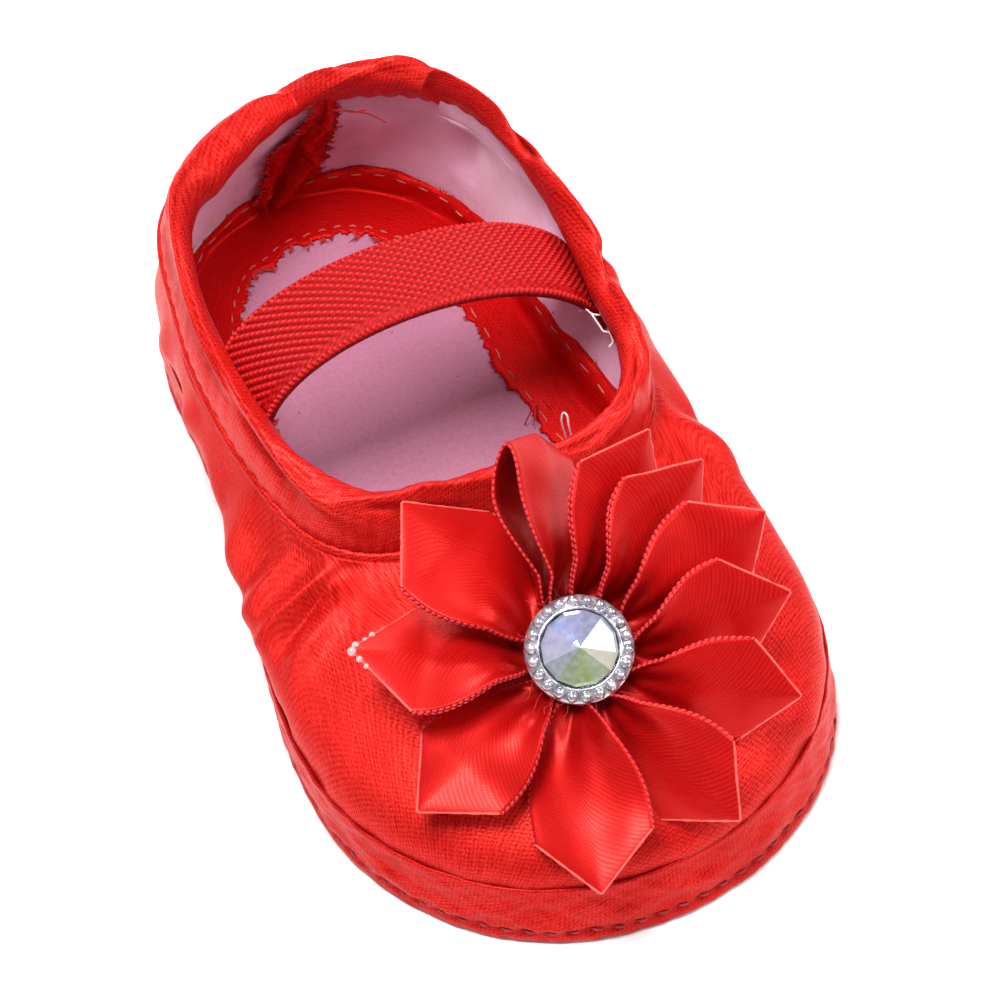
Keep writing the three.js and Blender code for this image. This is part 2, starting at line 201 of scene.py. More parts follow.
def spread(tree, value, low, high, new_low=0.0, new_high=1.0):
    """value from low..high carried to new_low..new_high, and held there."""
    return add(tree, "ShaderNodeMapRange", {
        "Value": value, "From Min": low, "From Max": high,
        "To Min": new_low, "To Max": new_high}).outputs["Result"]


def mark(tree, name, kind="Fac"):
    """What a mark of the piece's own says at each point."""
    return add(tree, "ShaderNodeAttribute", attribute_name=name).outputs[kind]


def on_cloth(tree):
    """The place on the flat cloth, in millimetres."""
    return add(tree, "ShaderNodeUVMap", uv_map="cloth").outputs[0]


def on_object(tree):
    """The place in space, in metres."""
    return add(tree, "ShaderNodeTexCoord").outputs["Object"]


def dress(tree, shader, **values):
    """Sets the shader's values, whose names have _ for a space: numbers, colours or other
    nodes' outputs."""
    for key, value in values.items():
        socket = shader.inputs[key.replace("_", " ")]
        if isinstance(value, bpy.types.NodeSocket):
            tree.links.new(value, socket)
        else:
            socket.default_value = value


def settle(tree, shader, height, strength=0.5, depth=0.0001):
    """Bump of that height (0 to 1, depth in metres) on the shader's normal."""
    made = add(tree, "ShaderNodeBump", {"Height": height, "Strength": strength, "Distance": depth})
    tree.links.new(made.outputs["Normal"], shader.inputs["Normal"])


def mapped(tree, place, turn=0.0, scale=(1, 1, 1)):
    """place turned by some degrees and then scaled."""
    turned = add(tree, "ShaderNodeMapping", {"Vector": place, "Rotation": (0, 0, np.radians(turn))})
    return add(tree, "ShaderNodeMapping", {"Vector": turned.outputs[0], "Scale": scale}).outputs[0]


# How far the CAD moved the drawn outline, in millimetres: found with the outsole, below.
MOVED = np.zeros(3)
FLOOR_REACH = 3000.0
floor_paper, tree, shader = finish("floor_paper")
tint = blend(tree, noise(tree, on_object(tree), 6), (0.93, 0.93, 0.935, 1), (0.96, 0.96, 0.96, 1))
dress(tree, shader, Base_Color=tint, Roughness=0.9)
corners = np.array([[[-1, -1, 0], [1, -1, 0]], [[-1, 1, 0], [1, 1, 0]]]) * FLOOR_REACH
floor = piece("floor", [grid(corners.transpose(1, 0, 2), corners[..., :2])], floor_paper)

# Outsole: the soft flat bottom of the shoe, a layer of red fabric whose outline all other
# pieces follow. The same outline serves either foot. Its edge is hidden by the band.
SHOE_LENGTH, BALL_WIDTH, HEEL_WIDTH = 120.0, 64.5, 48.0
TOE_ARC, HEEL_ARC = 31.0, 27.5
WAIST_HOLLOW, SIDE_BEND, BEND_ALONG, BEND_REACH = 1.4, -1.8, -5.0, 48.0
TOE_FULLNESS, HEEL_FULLNESS = 2.05, 2.13
HEEL_HEIGHT, BAND_HEIGHT, BAND_INSET, BAND_WALL, CLEARANCE = 34.5, 8.2, 2.4, 1.6, 0.3
SOLE_THICKNESS = 2.2
TURN = 2 * np.pi


def outline_at(t):
    """The sole's outline: a superellipse at the heel, sides that widen smoothly, a superellipse
    at the toe, and a small sideways bend. It starts at the heel and runs by the +X side."""
    half = np.where(t <= 0.5, t * 2, (1 - t) * 2)
    side = np.where(t <= 0.5, 1.0, -1.0)
    heel_line, ball_line = SHOE_LENGTH / 2 - HEEL_ARC, TOE_ARC - SHOE_LENGTH / 2
    heel = np.clip(half * 3, 0, 1) * np.pi / 2
    run = np.clip(half * 3 - 1, 0, 1)
    toe = np.clip(half * 3 - 2, 0, 1) * np.pi / 2
    width = HEEL_WIDTH + (BALL_WIDTH - HEEL_WIDTH) * run * run * (3 - 2 * run)
    where = [half < 1 / 3, half <= 2 / 3]
    out = np.select(where, [HEEL_WIDTH / 2 * np.sin(heel) ** (2 / HEEL_FULLNESS),
                            width / 2 - WAIST_HOLLOW * np.sin(np.pi * run) ** 2],
                    BALL_WIDTH / 2 * np.clip(np.cos(toe), 0, 1) ** (2 / TOE_FULLNESS))
    along = np.select(where, [
        heel_line + HEEL_ARC * np.clip(np.cos(heel), 0, 1) ** (2 / HEEL_FULLNESS),
        heel_line + (ball_line - heel_line) * run,
    ], ball_line - TOE_ARC * np.sin(toe) ** (2 / TOE_FULLNESS))
    bend = np.clip((along - BEND_ALONG) / BEND_REACH, -1, 1) * np.pi / 2
    return np.stack([side * out + SIDE_BEND * np.cos(bend) ** 2, along], -1)


def walk_along(path, closed=False):
    """The distance walked to each point of a path, and back to its first if it is closed."""
    steps = np.diff(path, axis=0, append=path[:1]) if closed else np.diff(path, axis=0)
    return np.concatenate([[0], np.cumsum(np.linalg.norm(steps, axis=1))])


def path_at(at, walk, path):
    """A path's places at some distances along it. walk has those of its own points."""
    return np.stack([np.interp(at, walk, column) for column in path.T], -1)


# The outline again at even steps of its length, with the direction in which it runs.
EVEN = 2400
drawn = outline_at(np.linspace(0, 1, 4 * EVEN + 1))
walked = walk_along(drawn)
PERIMETER = walked[-1]
steps = np.linspace(0, PERIMETER, EVEN + 1)
edge = path_at(steps, walked, drawn)
heading = np.roll(edge[:-1], -3, 0) - np.roll(edge[:-1], 3, 0)
heading = np.vstack([heading, heading[:1]])

# The CAD solids were centred over the origin: this is how far that moved the outline.
low, high = (np.array(corner) * 1000 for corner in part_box("band"))
MOVED[:2] = (low[:2] + high[:2] - drawn.min(0) - drawn.max(0)) / 2


def outward(share):
    """Level direction out of the outline: the way it runs, turned by a right angle."""
    at = np.mod(share, 1.0) * EVEN
    x, y = (np.interp(at, np.arange(EVEN + 1), heading[:, k]) for k in (0, 1))
    return unit(np.stack([-y, x, 0 * x], -1))


def outline(share, inset=0.0, height=0.0):
    """A point of the outline, moved inwards by inset and lifted to height."""
    share, inset, height = np.broadcast_arrays(np.asarray(share, float), inset, height)
    at = np.mod(share, 1.0) * EVEN
    x, y = (np.interp(at, np.arange(EVEN + 1), edge[:, k]) for k in (0, 1))
    return np.stack([x, y, height], -1) - outward(share) * inset[..., None]


# One row for each section, from the middle of the heel to the middle of the toe: the collar
# seam's place along, out and up, the wall's tilt and pull there, the way the collar stands,
# and the wall's pull, flare and lean where it leaves the band.
SECTIONS = np.array([
    [0.445, 0.000, 0.77, 76, 0.20, 14, 0.26, 4, 0.4],
    [0.385, 0.290, 0.74, 76, 0.20, 12, 0.26, 6, 0.3],
    [0.245, 0.388, 0.70, 76, 0.20, 10, 0.24, 14, 0.2],
    [0.095, 0.402, 0.64, 68, 0.22, 10, 0.24, 26, 0.0],
    [-0.042, 0.355, 0.60, 40, 0.25, 14, 0.22, 2, 0.2],
    [-0.106, 0.205, 0.61, 20, 0.38, 22, 0.26, 4, 0.8],
    [-0.127, 0.000, 0.62, 12, 0.52, 24, 0.26, 0, 1.0]])


def round_the_shoe(share):
    """A closed curve through the rows, mirrored over the middle of the shoe: between two rows
    each number follows a cubic whose slopes come from the rows on either side."""
    back = SECTIONS[1:-1][::-1] * [1, -1, 1, 1, 1, 1, 1, 1, 1]
    ring = np.vstack([SECTIONS, back])
    at = np.mod(share, 1.0) * len(ring)
    row = np.floor(at).astype(int)
    w = (at - row)[..., None]
    a, b, c, d = (ring[(row + k) % len(ring)] for k in (-1, 0, 1, 2))
    return b + w * ((c - a) + w * ((2 * a - 5 * b + 4 * c - d) + w * (3 * b - 3 * c + d - a))) / 2


def shares_round(rows):
    """A column of even shares of the outline, with the first again at the end as 1."""
    return np.arange(rows + 1)[:, None] / rows


def flat_cloth(along, across):
    """Places on the flat cloth, from the distances along and across it."""
    return np.stack(np.broadcast_arrays(along, across), -1)


FACE_RINGS, EDGE_RINGS, PLATE_ROWS = 14, 5, 240


def plate(inset, low, high, soft):
    """A flat plate with the sole's outline: rings shrink to the middle of the lower face, then
    follow the rounded edge, then shrink to the middle of the upper face."""
    turn = np.linspace(0, np.pi / 2, EDGE_RINGS)
    shrink = np.linspace(0, 1, FACE_RINGS)
    scale = np.concatenate([shrink, np.ones(2 * EDGE_RINGS - 2), shrink[::-1]])
    back = np.concatenate([np.full(FACE_RINGS, soft), soft * (1 - np.sin(turn[1:])),
                           soft * (1 - np.cos(turn))[:-1], np.full(FACE_RINGS, soft)])
    up = np.concatenate([np.full(FACE_RINGS, low), low + soft * (1 - np.cos(turn[1:])),
                         high - soft * (1 - np.sin(turn[:-1])), np.full(FACE_RINGS, high)])
    flat = outline(shares_round(PLATE_ROWS), inset + back, up)
    middle = np.array([SIDE_BEND / 2, 0.0])
    flat[..., :2] = middle + (flat[..., :2] - middle) * scale[None, :, None]
    return grid(flat[:-1], flat[..., :2], close_rows=True)


band_lean = round_the_shoe(shares_round(PLATE_ROWS))[..., 8] * BAND_INSET
sole_fabric, tree, shader = finish("sole_fabric")
cloth = on_cloth(tree)
threads, cross = (add(tree, "ShaderNodeTexWave", {
    "Vector": mapped(tree, cloth, turn), "Scale": 0.55, "Distortion": 0.8, "Detail Scale": 2.0,
}).outputs["Fac"] for turn in (45, -45))
weave = sums(tree, "MAXIMUM", threads, cross)
worn = noise(tree, cloth, 0.08, 4)
colour = blend(tree, weave, (0.20, 0.002, 0.004, 1), (0.48, 0.008, 0.010, 1))
colour = blend(tree, spread(tree, worn, 0.5, 0.75, 0, 0.35), colour, (0.62, 0.05, 0.05, 1))
dress(tree, shader, Base_Color=colour, Roughness=0.85)
settle(tree, shader, weave, 0.7, 0.0002)
piece("outsole_fabric", [plate(band_lean * 0.27 + BAND_WALL + CLEARANCE, 0.0, SOLE_THICKNESS, 0.5)],
      sole_fabric, "sole_fabric", ["outsole"], merge=True)

# Insole: a thin mauve board laid on the outsole, seen inside the shoe. Its face is a soft non-woven
# with a few dark specks and broad, faint patches of lighter and darker tone.
INSOLE_LOW, INSOLE_THICKNESS = 2.5, 1.6
INSOLE_TOP = INSOLE_LOW + INSOLE_THICKNESS
soft_board, tree, shader = finish("soft_board")
cloth = on_cloth(tree)
felt = noise(tree, cloth, 1.6, 5, 0.65)
broad = noise(tree, cloth, 0.035, 2)
specks = add(tree, "ShaderNodeTexVoronoi", {"Vector": cloth, "Scale": 0.30}).outputs["Distance"]
colour = blend(tree, spread(tree, broad, 0.35, 0.65),
               (0.345, 0.112, 0.184, 1), (0.415, 0.150, 0.243, 1))
colour = blend(tree, spread(tree, felt, 0.3, 0.7, 0.0, 0.25), colour, (0.62, 0.30, 0.42, 1))
colour = blend(tree, spread(tree, specks, 0.030, 0.055, 0.75, 0.0), colour, (0.10, 0.02, 0.05, 1))
dress(tree, shader, Base_Color=colour, Roughness=0.75, Sheen_Weight=0.3, Sheen_Roughness=0.5)
settle(tree, shader, felt, 0.35, 0.00012)
piece("insole_board", [plate(band_lean * 0.4 + BAND_WALL + CLEARANCE, INSOLE_LOW, INSOLE_TOP, 0.4)],
      soft_board, "board", ["insole"], merge=True)

# Band: a strip of satin folded over and wrapped round the edge of the sole. Its folded upper
# edge stands proud of the upper, one row of stitches holds it near the floor, and the pull of
# the stitches leaves slanting puckers in it.
THREAD_PITCH, SINES = 0.42, 7


def ripple(points, size, seed):
    """Uneven soft waves over the points: the mean of a few sines, each with its own direction
    in space, its own start and a length near size. About -1 to 1."""
    draw = np.random.default_rng(seed)
    ways = unit(draw.normal(size=(SINES, 3))) * TURN / (size * draw.uniform(0.7, 1.5, (SINES, 1)))
    return np.sin(points @ ways.T + draw.uniform(0, TURN, SINES)).mean(-1) * 1.6


def strands(paths, radii, sides):
    """Many threads at once. Round every point of each path stands a ring of sides, square to
    the path, and both ends are closed by flat faces."""
    count, long = paths.shape[:2]
    ahead = unit(np.gradient(paths, axis=1))
    side = unit(np.cross(ahead, (0.31, 0.17, 0.93)))
    over = np.cross(ahead, side)
    angle = np.arange(sides) / sides * TURN
    ring = side[:, :, None] * np.cos(angle)[:, None] + over[:, :, None] * np.sin(angle)[:, None]
    radii = np.broadcast_to(radii, (count, long))
    points = paths[:, :, None] + ring * radii[..., None, None]
    thread, i, j = np.meshgrid(np.arange(count), np.arange(long - 1), np.arange(sides),
                               indexing="ij")
    first = (thread * long + i) * sides
    ends = [first + j, first + (j + 1) % sides, first + sides + (j + 1) % sides, first + sides + j]
    quads = np.stack(ends, -1).reshape(-1, 4)
    corners = ((0, 0), (0, 1), (1, 1), (1, 0))
    cloth = np.stack([np.stack([i + a, j + b], -1) for a, b in corners], -2)
    caps = np.arange(count)[:, None] * long * sides + np.arange(sides)
    zero = np.zeros(caps.shape + (2,))
    faces = [(quads, cloth.reshape(-1, 4, 2) * 0.5), (caps[:, ::-1], zero),
             (caps + (long - 1) * sides, zero)]
    return points.reshape(-1, 3), faces


def satin(name, base, light, dark, turn, depth=0.00006, rough=0.36, twill=False, gloss=0.19):
    """Satin: fine threads that cross, uneven thicker ones among them, lighter where a thread rises,
    darkened by painted shade where the piece's shade mark says, and a soft metallic gloss of its
    own colour."""
    material, tree, shader = finish(name)
    cloth = on_cloth(tree)
    along = mapped(tree, cloth, turn, (1 / THREAD_PITCH, 1 / THREAD_PITCH, 1))
    x, y = (add(tree, "ShaderNodeSeparateXYZ", {0: along}).outputs[k] for k in (0, 1))
    wander = sums(tree, "MULTIPLY", noise(tree, along, 0.10, 2), 0.6)
    dot_share, line_share, grain_share, low, high = (
        (0.3, 0.42, 0.1, 0.30, 0.68) if twill else (0.9, 0.20, 0.75, 0.54, 0.84))
    lines = sums(tree, "SINE", sums(tree, "MULTIPLY", sums(tree, "ADD", y, wander), TURN))
    slanted = sums(tree, "MULTIPLY_ADD", y, 0.5, x)
    dots = sums(tree, "SINE", sums(tree, "MULTIPLY", slanted, TURN * 0.7))
    rise = spread(tree, sums(tree, "MULTIPLY_ADD", dots, dot_share, lines), -1.8, 1.8)
    slubs = noise(tree, mapped(tree, along, 0, (0.10, 1.1, 1)), 1.2, 3, 0.6)
    grain = noise(tree, mapped(tree, along, 0, (0.8, 1.2, 1)), 1.6, 2, 0.6)
    rise = sums(tree, "MULTIPLY_ADD", rise, line_share, sums(tree, "MULTIPLY", slubs, 0.45))
    rise = sums(tree, "MULTIPLY_ADD", grain, grain_share, rise)
    cloudy = noise(tree, cloth, 0.12, 3)
    colour = blend(tree, spread(tree, rise, low, high), dark, light)
    colour = blend(tree, spread(tree, cloudy, 0.35, 0.65, 0.15, 0.45), colour, base)
    # The colour towards which painted shade darkens the satin.
    shade_colour = tuple(0.35 * c for c in base[:3]) + (1,)
    colour = blend(tree, spread(tree, mark(tree, "painted_shade"), 0.0, 1.0, 0.0, 0.8), colour, shade_colour)
    dress(tree, shader, Base_Color=colour, Metallic=0.3, Specular_IOR_Level=gloss,
          Specular_Tint=(1.0, 0.40, 0.34, 1),
          Roughness=spread(tree, rise, 0.35, 0.9, rough + 0.12, rough - 0.06))
    settle(tree, shader, rise, 0.8, depth)
    return material


def thread_finish(name, base, rough=0.6):
    """Twisted thread: slanting lighter turns on a plain colour."""
    material, tree, shader = finish(name)
    slanting = mapped(tree, on_cloth(tree), 35)
    turns = add(tree, "ShaderNodeTexWave", {"Vector": slanting, "Scale": 1.2}).outputs["Fac"]
    pale = tuple(min(1.0, 1.25 * c + 0.03) for c in base[:3]) + (1,)
    dress(tree, shader, Base_Color=blend(tree, turns, base, pale), Roughness=rough)
    settle(tree, shader, turns, 0.5, 0.0001)
    return material


RED, RED_LIGHT = (0.50, 0.003, 0.004, 1), (0.80, 0.034, 0.026, 1)
RED_DARK = (0.34, 0.001, 0.002, 1)
band_satin = satin("band_satin", (0.44, 0.003, 0.004, 1), (0.74, 0.026, 0.020, 1), RED_DARK, 20)
dark_thread = thread_finish("dark_thread", (0.30, 0.004, 0.006, 1))
pale_thread = thread_finish("pale_thread", (0.50, 0.13, 0.09, 1))
STITCH_PITCH, STITCH_LENGTH, STITCH_HEIGHT = 2.7, 1.5, 2.1
LIP_PROUD, LIP_TOP, FOLD_TOP = 0.55, BAND_HEIGHT + 0.45, 8.6


def band_face(share, up):
    """The band's outer face at a height: it leans in towards its top, bulges a little between its
    edges, dips at the stitch row and is puckered by it. Also gives the painted shade in the dip of
    the stitch row."""
    share, up = np.broadcast_arrays(share, up)
    lean = round_the_shoe(share)[..., 8] * BAND_INSET
    level = np.clip(up / BAND_HEIGHT, 0, 1.2)
    around = share * PERIMETER
    place = outline(share, 0.0, up)
    stitch = np.abs(np.sin(around / STITCH_PITCH * np.pi))
    seam_dip = np.exp(-((up - STITCH_HEIGHT) / 0.5) ** 2)
    pucker = ripple(np.stack([place[..., 0], place[..., 1], up * 2.0], -1), 6.5, 11)
    fine = ripple(place + np.stack([up, up, up], -1) * 0.6, 2.4, 12)
    bulge = np.sin(np.pi * np.clip(up / FOLD_TOP, 0, 1))
    relief = 0.25 * bulge + 0.30 * pucker * bulge + 0.10 * fine
    relief = relief - seam_dip * (0.20 + 0.28 * (1 - stitch))
    relief = relief + LIP_PROUD * np.clip((up - 5.5) / 3.2, 0, 1) ** 1.5
    # Painted shade: darker along the dip of the stitch row, most between the stitches.
    painted_shade = seam_dip * (0.35 + 0.4 * (1 - stitch))
    return outline(share, lean * level ** 1.4 - relief, up), painted_shade


rows, outer_rows = 860, 44
share = shares_round(rows)
ups = np.concatenate([[0.35, 0.42, 0.6], np.linspace(0.85, LIP_TOP, outer_rows)])
outer, painted_shade = band_face(share, ups[None, :])
curl = np.array([0.45, 0.12, 0.0])
outer[:, :3] -= outward(share) * curl[None, :, None]
lip, _ = band_face(share, LIP_TOP)
turn = np.array([0.5, 1.0, 1.5, 2.1, 2.7])
over = lip - outward(share) * (0.32 - 0.32 * np.cos(turn))[None, :, None]
over[..., 2] += 0.3 * np.sin(turn)
lean = round_the_shoe(share)[..., 8] * BAND_INSET
inner_up = np.array([8.1, 7.2, 5.5, 3.5, 1.5, 0.3])[None, :]
inner = outline(share, lean * inner_up / BAND_HEIGHT + BAND_WALL, inner_up)
inner[:, 0] = outline(share, lean + 0.5, BAND_HEIGHT)[:, 0]
section = np.concatenate([outer, over, inner], 1)
ring_cloth = flat_cloth(share * PERIMETER, walk_along(section[0], True))
marks = np.zeros(section.shape[:2])
marks[:, :painted_shade.shape[1]] = painted_shade
# The band's inner face is darkened by painted shade.
marks[:, painted_shade.shape[1] + 2:] = 0.9
piece("band_satin", [grid(section[:-1], ring_cloth, True, True)], band_satin, "band_satin",
      ["band"], marks={"painted_shade": marks[:-1]})
count = int(PERIMETER / STITCH_PITCH)
middles = (np.arange(count) + 0.5)[:, None] / count
along = np.linspace(-0.5, 0.5, 5)[None, :] * STITCH_LENGTH / PERIMETER
paths, _ = band_face(middles + along, np.full((count, 5), STITCH_HEIGHT))
paths += outward(middles + along) * np.array([-0.12, 0.1, 0.16, 0.1, -0.12])[None, :, None]
piece("band_stitches", [strands(paths, np.array([0.10, 0.17, 0.18, 0.17, 0.10]), 6)],
      dark_thread, "band_satin")

# Upper: the satin that covers the toe and rises to the collar all round, cut in one and
# gathered into the band. Behind it lies a lilac lining of soft non-woven.
UPPER_WALL, SATIN_WALL, COLLAR_SHIFT = 1.6, 0.75, 1.0


def seam(share):
    """The line on which the collar is sewn to the upper."""
    s = round_the_shoe(share)
    return np.stack([s[..., 1] * BALL_WIDTH + COLLAR_SHIFT, s[..., 0] * SHOE_LENGTH,
                     s[..., 2] * HEEL_HEIGHT], -1)


def seam_direction(share):
    """The way in which the wall reaches the collar seam, upwards and inwards."""
    tilt = np.radians(round_the_shoe(share)[..., 3])
    away = (outline(share) - seam(share)) * [1, 1, 0]
    level = -unit(unit(away) + outward(share)) * np.cos(tilt)[..., None]
    return level + np.stack([0 * tilt, 0 * tilt, np.sin(tilt)], -1)


def skin(share, rise):
    """Outer surface of the upper: a cubic from the band's top edge (rise 0) to the collar seam
    (rise 1), with a direction and a pull at either end."""
    share, rise = np.broadcast_arrays(np.asarray(share, float), rise)
    s = round_the_shoe(share)
    foot = outline(share, s[..., 8] * BAND_INSET, BAND_HEIGHT + CLEARANCE)
    flare = np.radians(s[..., 7])[..., None]
    up = outward(share) * np.sin(flare) + np.array([0, 0, 1.0]) * np.cos(flare)
    top = seam(share)
    b = foot + up * (s[..., 6] * HEEL_HEIGHT)[..., None]
    c = top - seam_direction(share) * (s[..., 4] * HEEL_HEIGHT)[..., None]
    r = rise[..., None]
    return (1 - r) ** 3 * foot + 3 * (1 - r) ** 2 * r * b + 3 * (1 - r) * r * r * c + r ** 3 * top


def inwards(share, rise):
    """Direction square to the upper, into the shoe."""
    step = 0.004
    around = skin(share + step, rise) - skin(share - step, rise)
    upwards = skin(share, np.clip(rise + step, 0, 1)) - skin(share, np.clip(rise - step, 0, 1))
    return unit(np.cross(around, upwards))


def skin_inside(share, rise, depth):
    """The upper's surface moved inwards by depth, square to itself."""
    share, rise, depth = np.broadcast_arrays(np.asarray(share, float), rise, depth)
    return skin(share, rise) + inwards(share, rise) * depth[..., None]


def crease(points, path, width, height):
    """A soft ridge, or a trough where height is negative: its height falls off from the path as
    a bell of that width and fades towards both ends of the path."""
    path = np.asarray(path, float)
    walk = walk_along(path)
    near = np.full(points.shape[:-1], 1e9)
    place = np.zeros(points.shape[:-1])
    for a, b, start, end in zip(path[:-1], path[1:], walk[:-1], walk[1:]):
        t = np.clip((points - a) @ (b - a) / ((b - a) @ (b - a)), 0, 1)
        away = np.linalg.norm(points - a - t[..., None] * (b - a), axis=-1)
        place = np.where(away < near, (start + t * (end - start)) / walk[-1], place)
        near = np.minimum(away, near)
    fade = np.sin(np.pi * np.clip(place, 0, 1)) ** 1.2
    return height * np.exp(-(near / width) ** 2) * fade


# Creases of the upper: two or three places (share, rise), the width of the bell and its height.
UPPER_CREASES = [
    ([(0.636, 1.0), (0.649, 0.93), (0.667, 0.78), (0.688, 0.60), (0.725, 0.15)], 1.0, 1.0),
    ([(0.641, 0.90), (0.656, 0.78), (0.675, 0.60), (0.696, 0.34)], 1.2, -1.3),
    ([(0.628, 0.89), (0.647, 0.74), (0.666, 0.58), (0.685, 0.30)], 1.7, 0.8),
    ([(0.674, 0.98), (0.691, 0.78), (0.745, 0.08)], 1.4, 0.8),
    ([(0.688, 0.99), (0.705, 0.76), (0.755, 0.10)], 1.5, -0.8),
    ([(0.715, 0.99), (0.738, 0.60), (0.768, 0.08)], 2.0, 0.6),
    ([(0.740, 0.99), (0.765, 0.55), (0.790, 0.10)], 2.2, -0.5),
    ([(0.790, 0.90), (0.815, 0.55), (0.830, 0.20)], 2.2, 0.96),
    ([(0.850, 0.90), (0.862, 0.50), (0.880, 0.15)], 2.6, 1.12),
    ([(0.905, 0.92), (0.915, 0.50), (0.925, 0.15)], 2.4, -0.96),
    ([(0.345, 0.95), (0.322, 0.60), (0.300, 0.25)], 1.8, 1.12),
    ([(0.325, 0.95), (0.300, 0.60), (0.282, 0.25)], 1.6, -0.96),
    ([(0.250, 0.92), (0.235, 0.55), (0.225, 0.15)], 2.4, 0.96),
    ([(0.180, 0.92), (0.170, 0.50), (0.160, 0.15)], 2.4, -0.96),
    ([(0.110, 0.92), (0.100, 0.50), (0.095, 0.15)], 2.6, 0.96),
    ([(0.050, 0.92), (0.045, 0.50), (0.040, 0.15)], 2.4, -0.8),
]


def upper_relief(share, rise):
    """How far the satin stands off the plain upper: its creases, broad and fine waves, small
    gathers at the band and short ones at the collar seam. Also gives the painted shade at the band,
    at the collar seam and in its deeper troughs."""
    points = skin(share, rise)
    relief = 0.28 * ripple(points, 22, 21) + 0.12 * ripple(points, 8, 22)
    for places, width, height in UPPER_CREASES:
        shares, rises = np.array(places).T
        t = np.linspace(0, 1, 9)
        knots = np.linspace(0, 1, len(places))
        path = skin(np.interp(t, knots, shares), np.interp(t, knots, rises))
        relief = relief + crease(points, path, width, height)
    gathers = ripple(points * [1, 1, 0.35], 5.0, 23)
    low = np.exp(-rise / 0.10)
    high = np.exp(-(1 - rise) / 0.10)
    relief = relief + gathers * (0.35 * low + 0.30 * high)
    edges = np.clip(rise / 0.04, 0, 1) * np.clip((1 - rise) / 0.03, 0, 1)
    # Painted shade: darker where the upper meets the band and the collar seam, and in the deep
    # troughs.
    painted_shade = 0.8 * np.exp(-rise / 0.018) + 0.35 * np.exp(-(1 - rise) / 0.03)
    painted_shade = painted_shade + np.clip(-relief - 0.35, 0, 1) * 0.35
    return relief * (0.25 + 0.75 * edges), np.clip(painted_shade, 0, 1)


def wall_cloth(share, points):
    """The wall laid flat inside the sole's outline: as far in from it as the wall is long."""
    length = np.concatenate([np.zeros((points.shape[0], 1)), np.cumsum(
        np.linalg.norm(np.diff(points, axis=1), axis=-1), axis=1)], 1)
    return outline(share, length)[..., :2]


upper_satin = satin("upper_satin", RED, RED_LIGHT, RED_DARK, -26, depth=0.0001)
share, rises = shares_round(760), np.linspace(0, 1, 72)[None, :]
relief, painted_shade = upper_relief(share, rises)
outer = skin_inside(share, rises, -relief)
inner = skin_inside(share, rises[:, ::-3], SATIN_WALL - relief[:, ::-3])
section = np.concatenate([outer, inner], 1)
cloth = wall_cloth(share, outer)
cloth = np.concatenate([cloth, cloth[:, ::-3], cloth[:, :1]], 1)
marks = np.zeros(section.shape[:2])
marks[:, :rises.size] = painted_shade
piece("upper_satin", [grid(section[:-1], cloth, True, True)], upper_satin, "satin", ["upper"],
      marks={"painted_shade": marks[:-1]})

lining_felt, tree, shader = finish("lining_felt")
cloth = on_cloth(tree)
fibres = noise(tree, cloth, 2.2, 5, 0.7)
patchy = noise(tree, cloth, 0.10, 3)
colour = blend(tree, spread(tree, patchy, 0.35, 0.65),
               (0.64, 0.27, 0.41, 1), (0.80, 0.44, 0.61, 1))
colour = blend(tree, spread(tree, fibres, 0.35, 0.7, 0.0, 0.4), colour, (0.86, 0.57, 0.72, 1))
dress(tree, shader, Base_Color=colour, Roughness=0.8, Sheen_Weight=0.4, Sheen_Roughness=0.5)
settle(tree, shader, fibres, 0.5, 0.00015)
SKIRT_DROP = 4.4
share = shares_round(480)
rises = np.linspace(0.02, 1, 40)[None, :]
waves = 0.22 * ripple(skin(share, rises), 9, 31) * np.clip(rises / 0.2, 0, 1)
relief = upper_relief(share, rises)[0]
face = skin_inside(share, rises[:, ::-1], UPPER_WALL + 0.1 + (waves - relief)[:, ::-1])
back = skin_inside(share, rises[:, ::2], UPPER_WALL - 0.35 - relief[:, ::2])
skirt = face[:, -1:] - [0, 0, SKIRT_DROP]
section = np.concatenate([skirt + outward(share) * 0.3, back, face, skirt], 1)
flat = wall_cloth(share, face)
foot_cloth = flat[:, -1:]
cloth = np.concatenate([foot_cloth, flat[:, ::-2], flat, foot_cloth, foot_cloth], 1)
piece("upper_lining", [grid(section[:-1], cloth, True, True)], lining_felt, "board")

# Collar: a wide casing of satin round the opening, drawn together by the elastic inside it, so
# that it twists and ripples. It is sewn on with a rolled seam, and pinched into a notch behind
# the heel where its ends meet.
COLLAR_THICKNESS, NOTCH_PLACE = 3.0, 4.6
SEAM_LENGTH = walk_along(seam(np.linspace(0, 1, 2001)))[-1]
NOTCH_SHARE = NOTCH_PLACE / SEAM_LENGTH


def from_notch(share):
    """Distance along the collar from its notch, positive towards the +X side."""
    return (np.mod(share + 0.5, 1.0) - 0.5 - NOTCH_SHARE) * SEAM_LENGTH


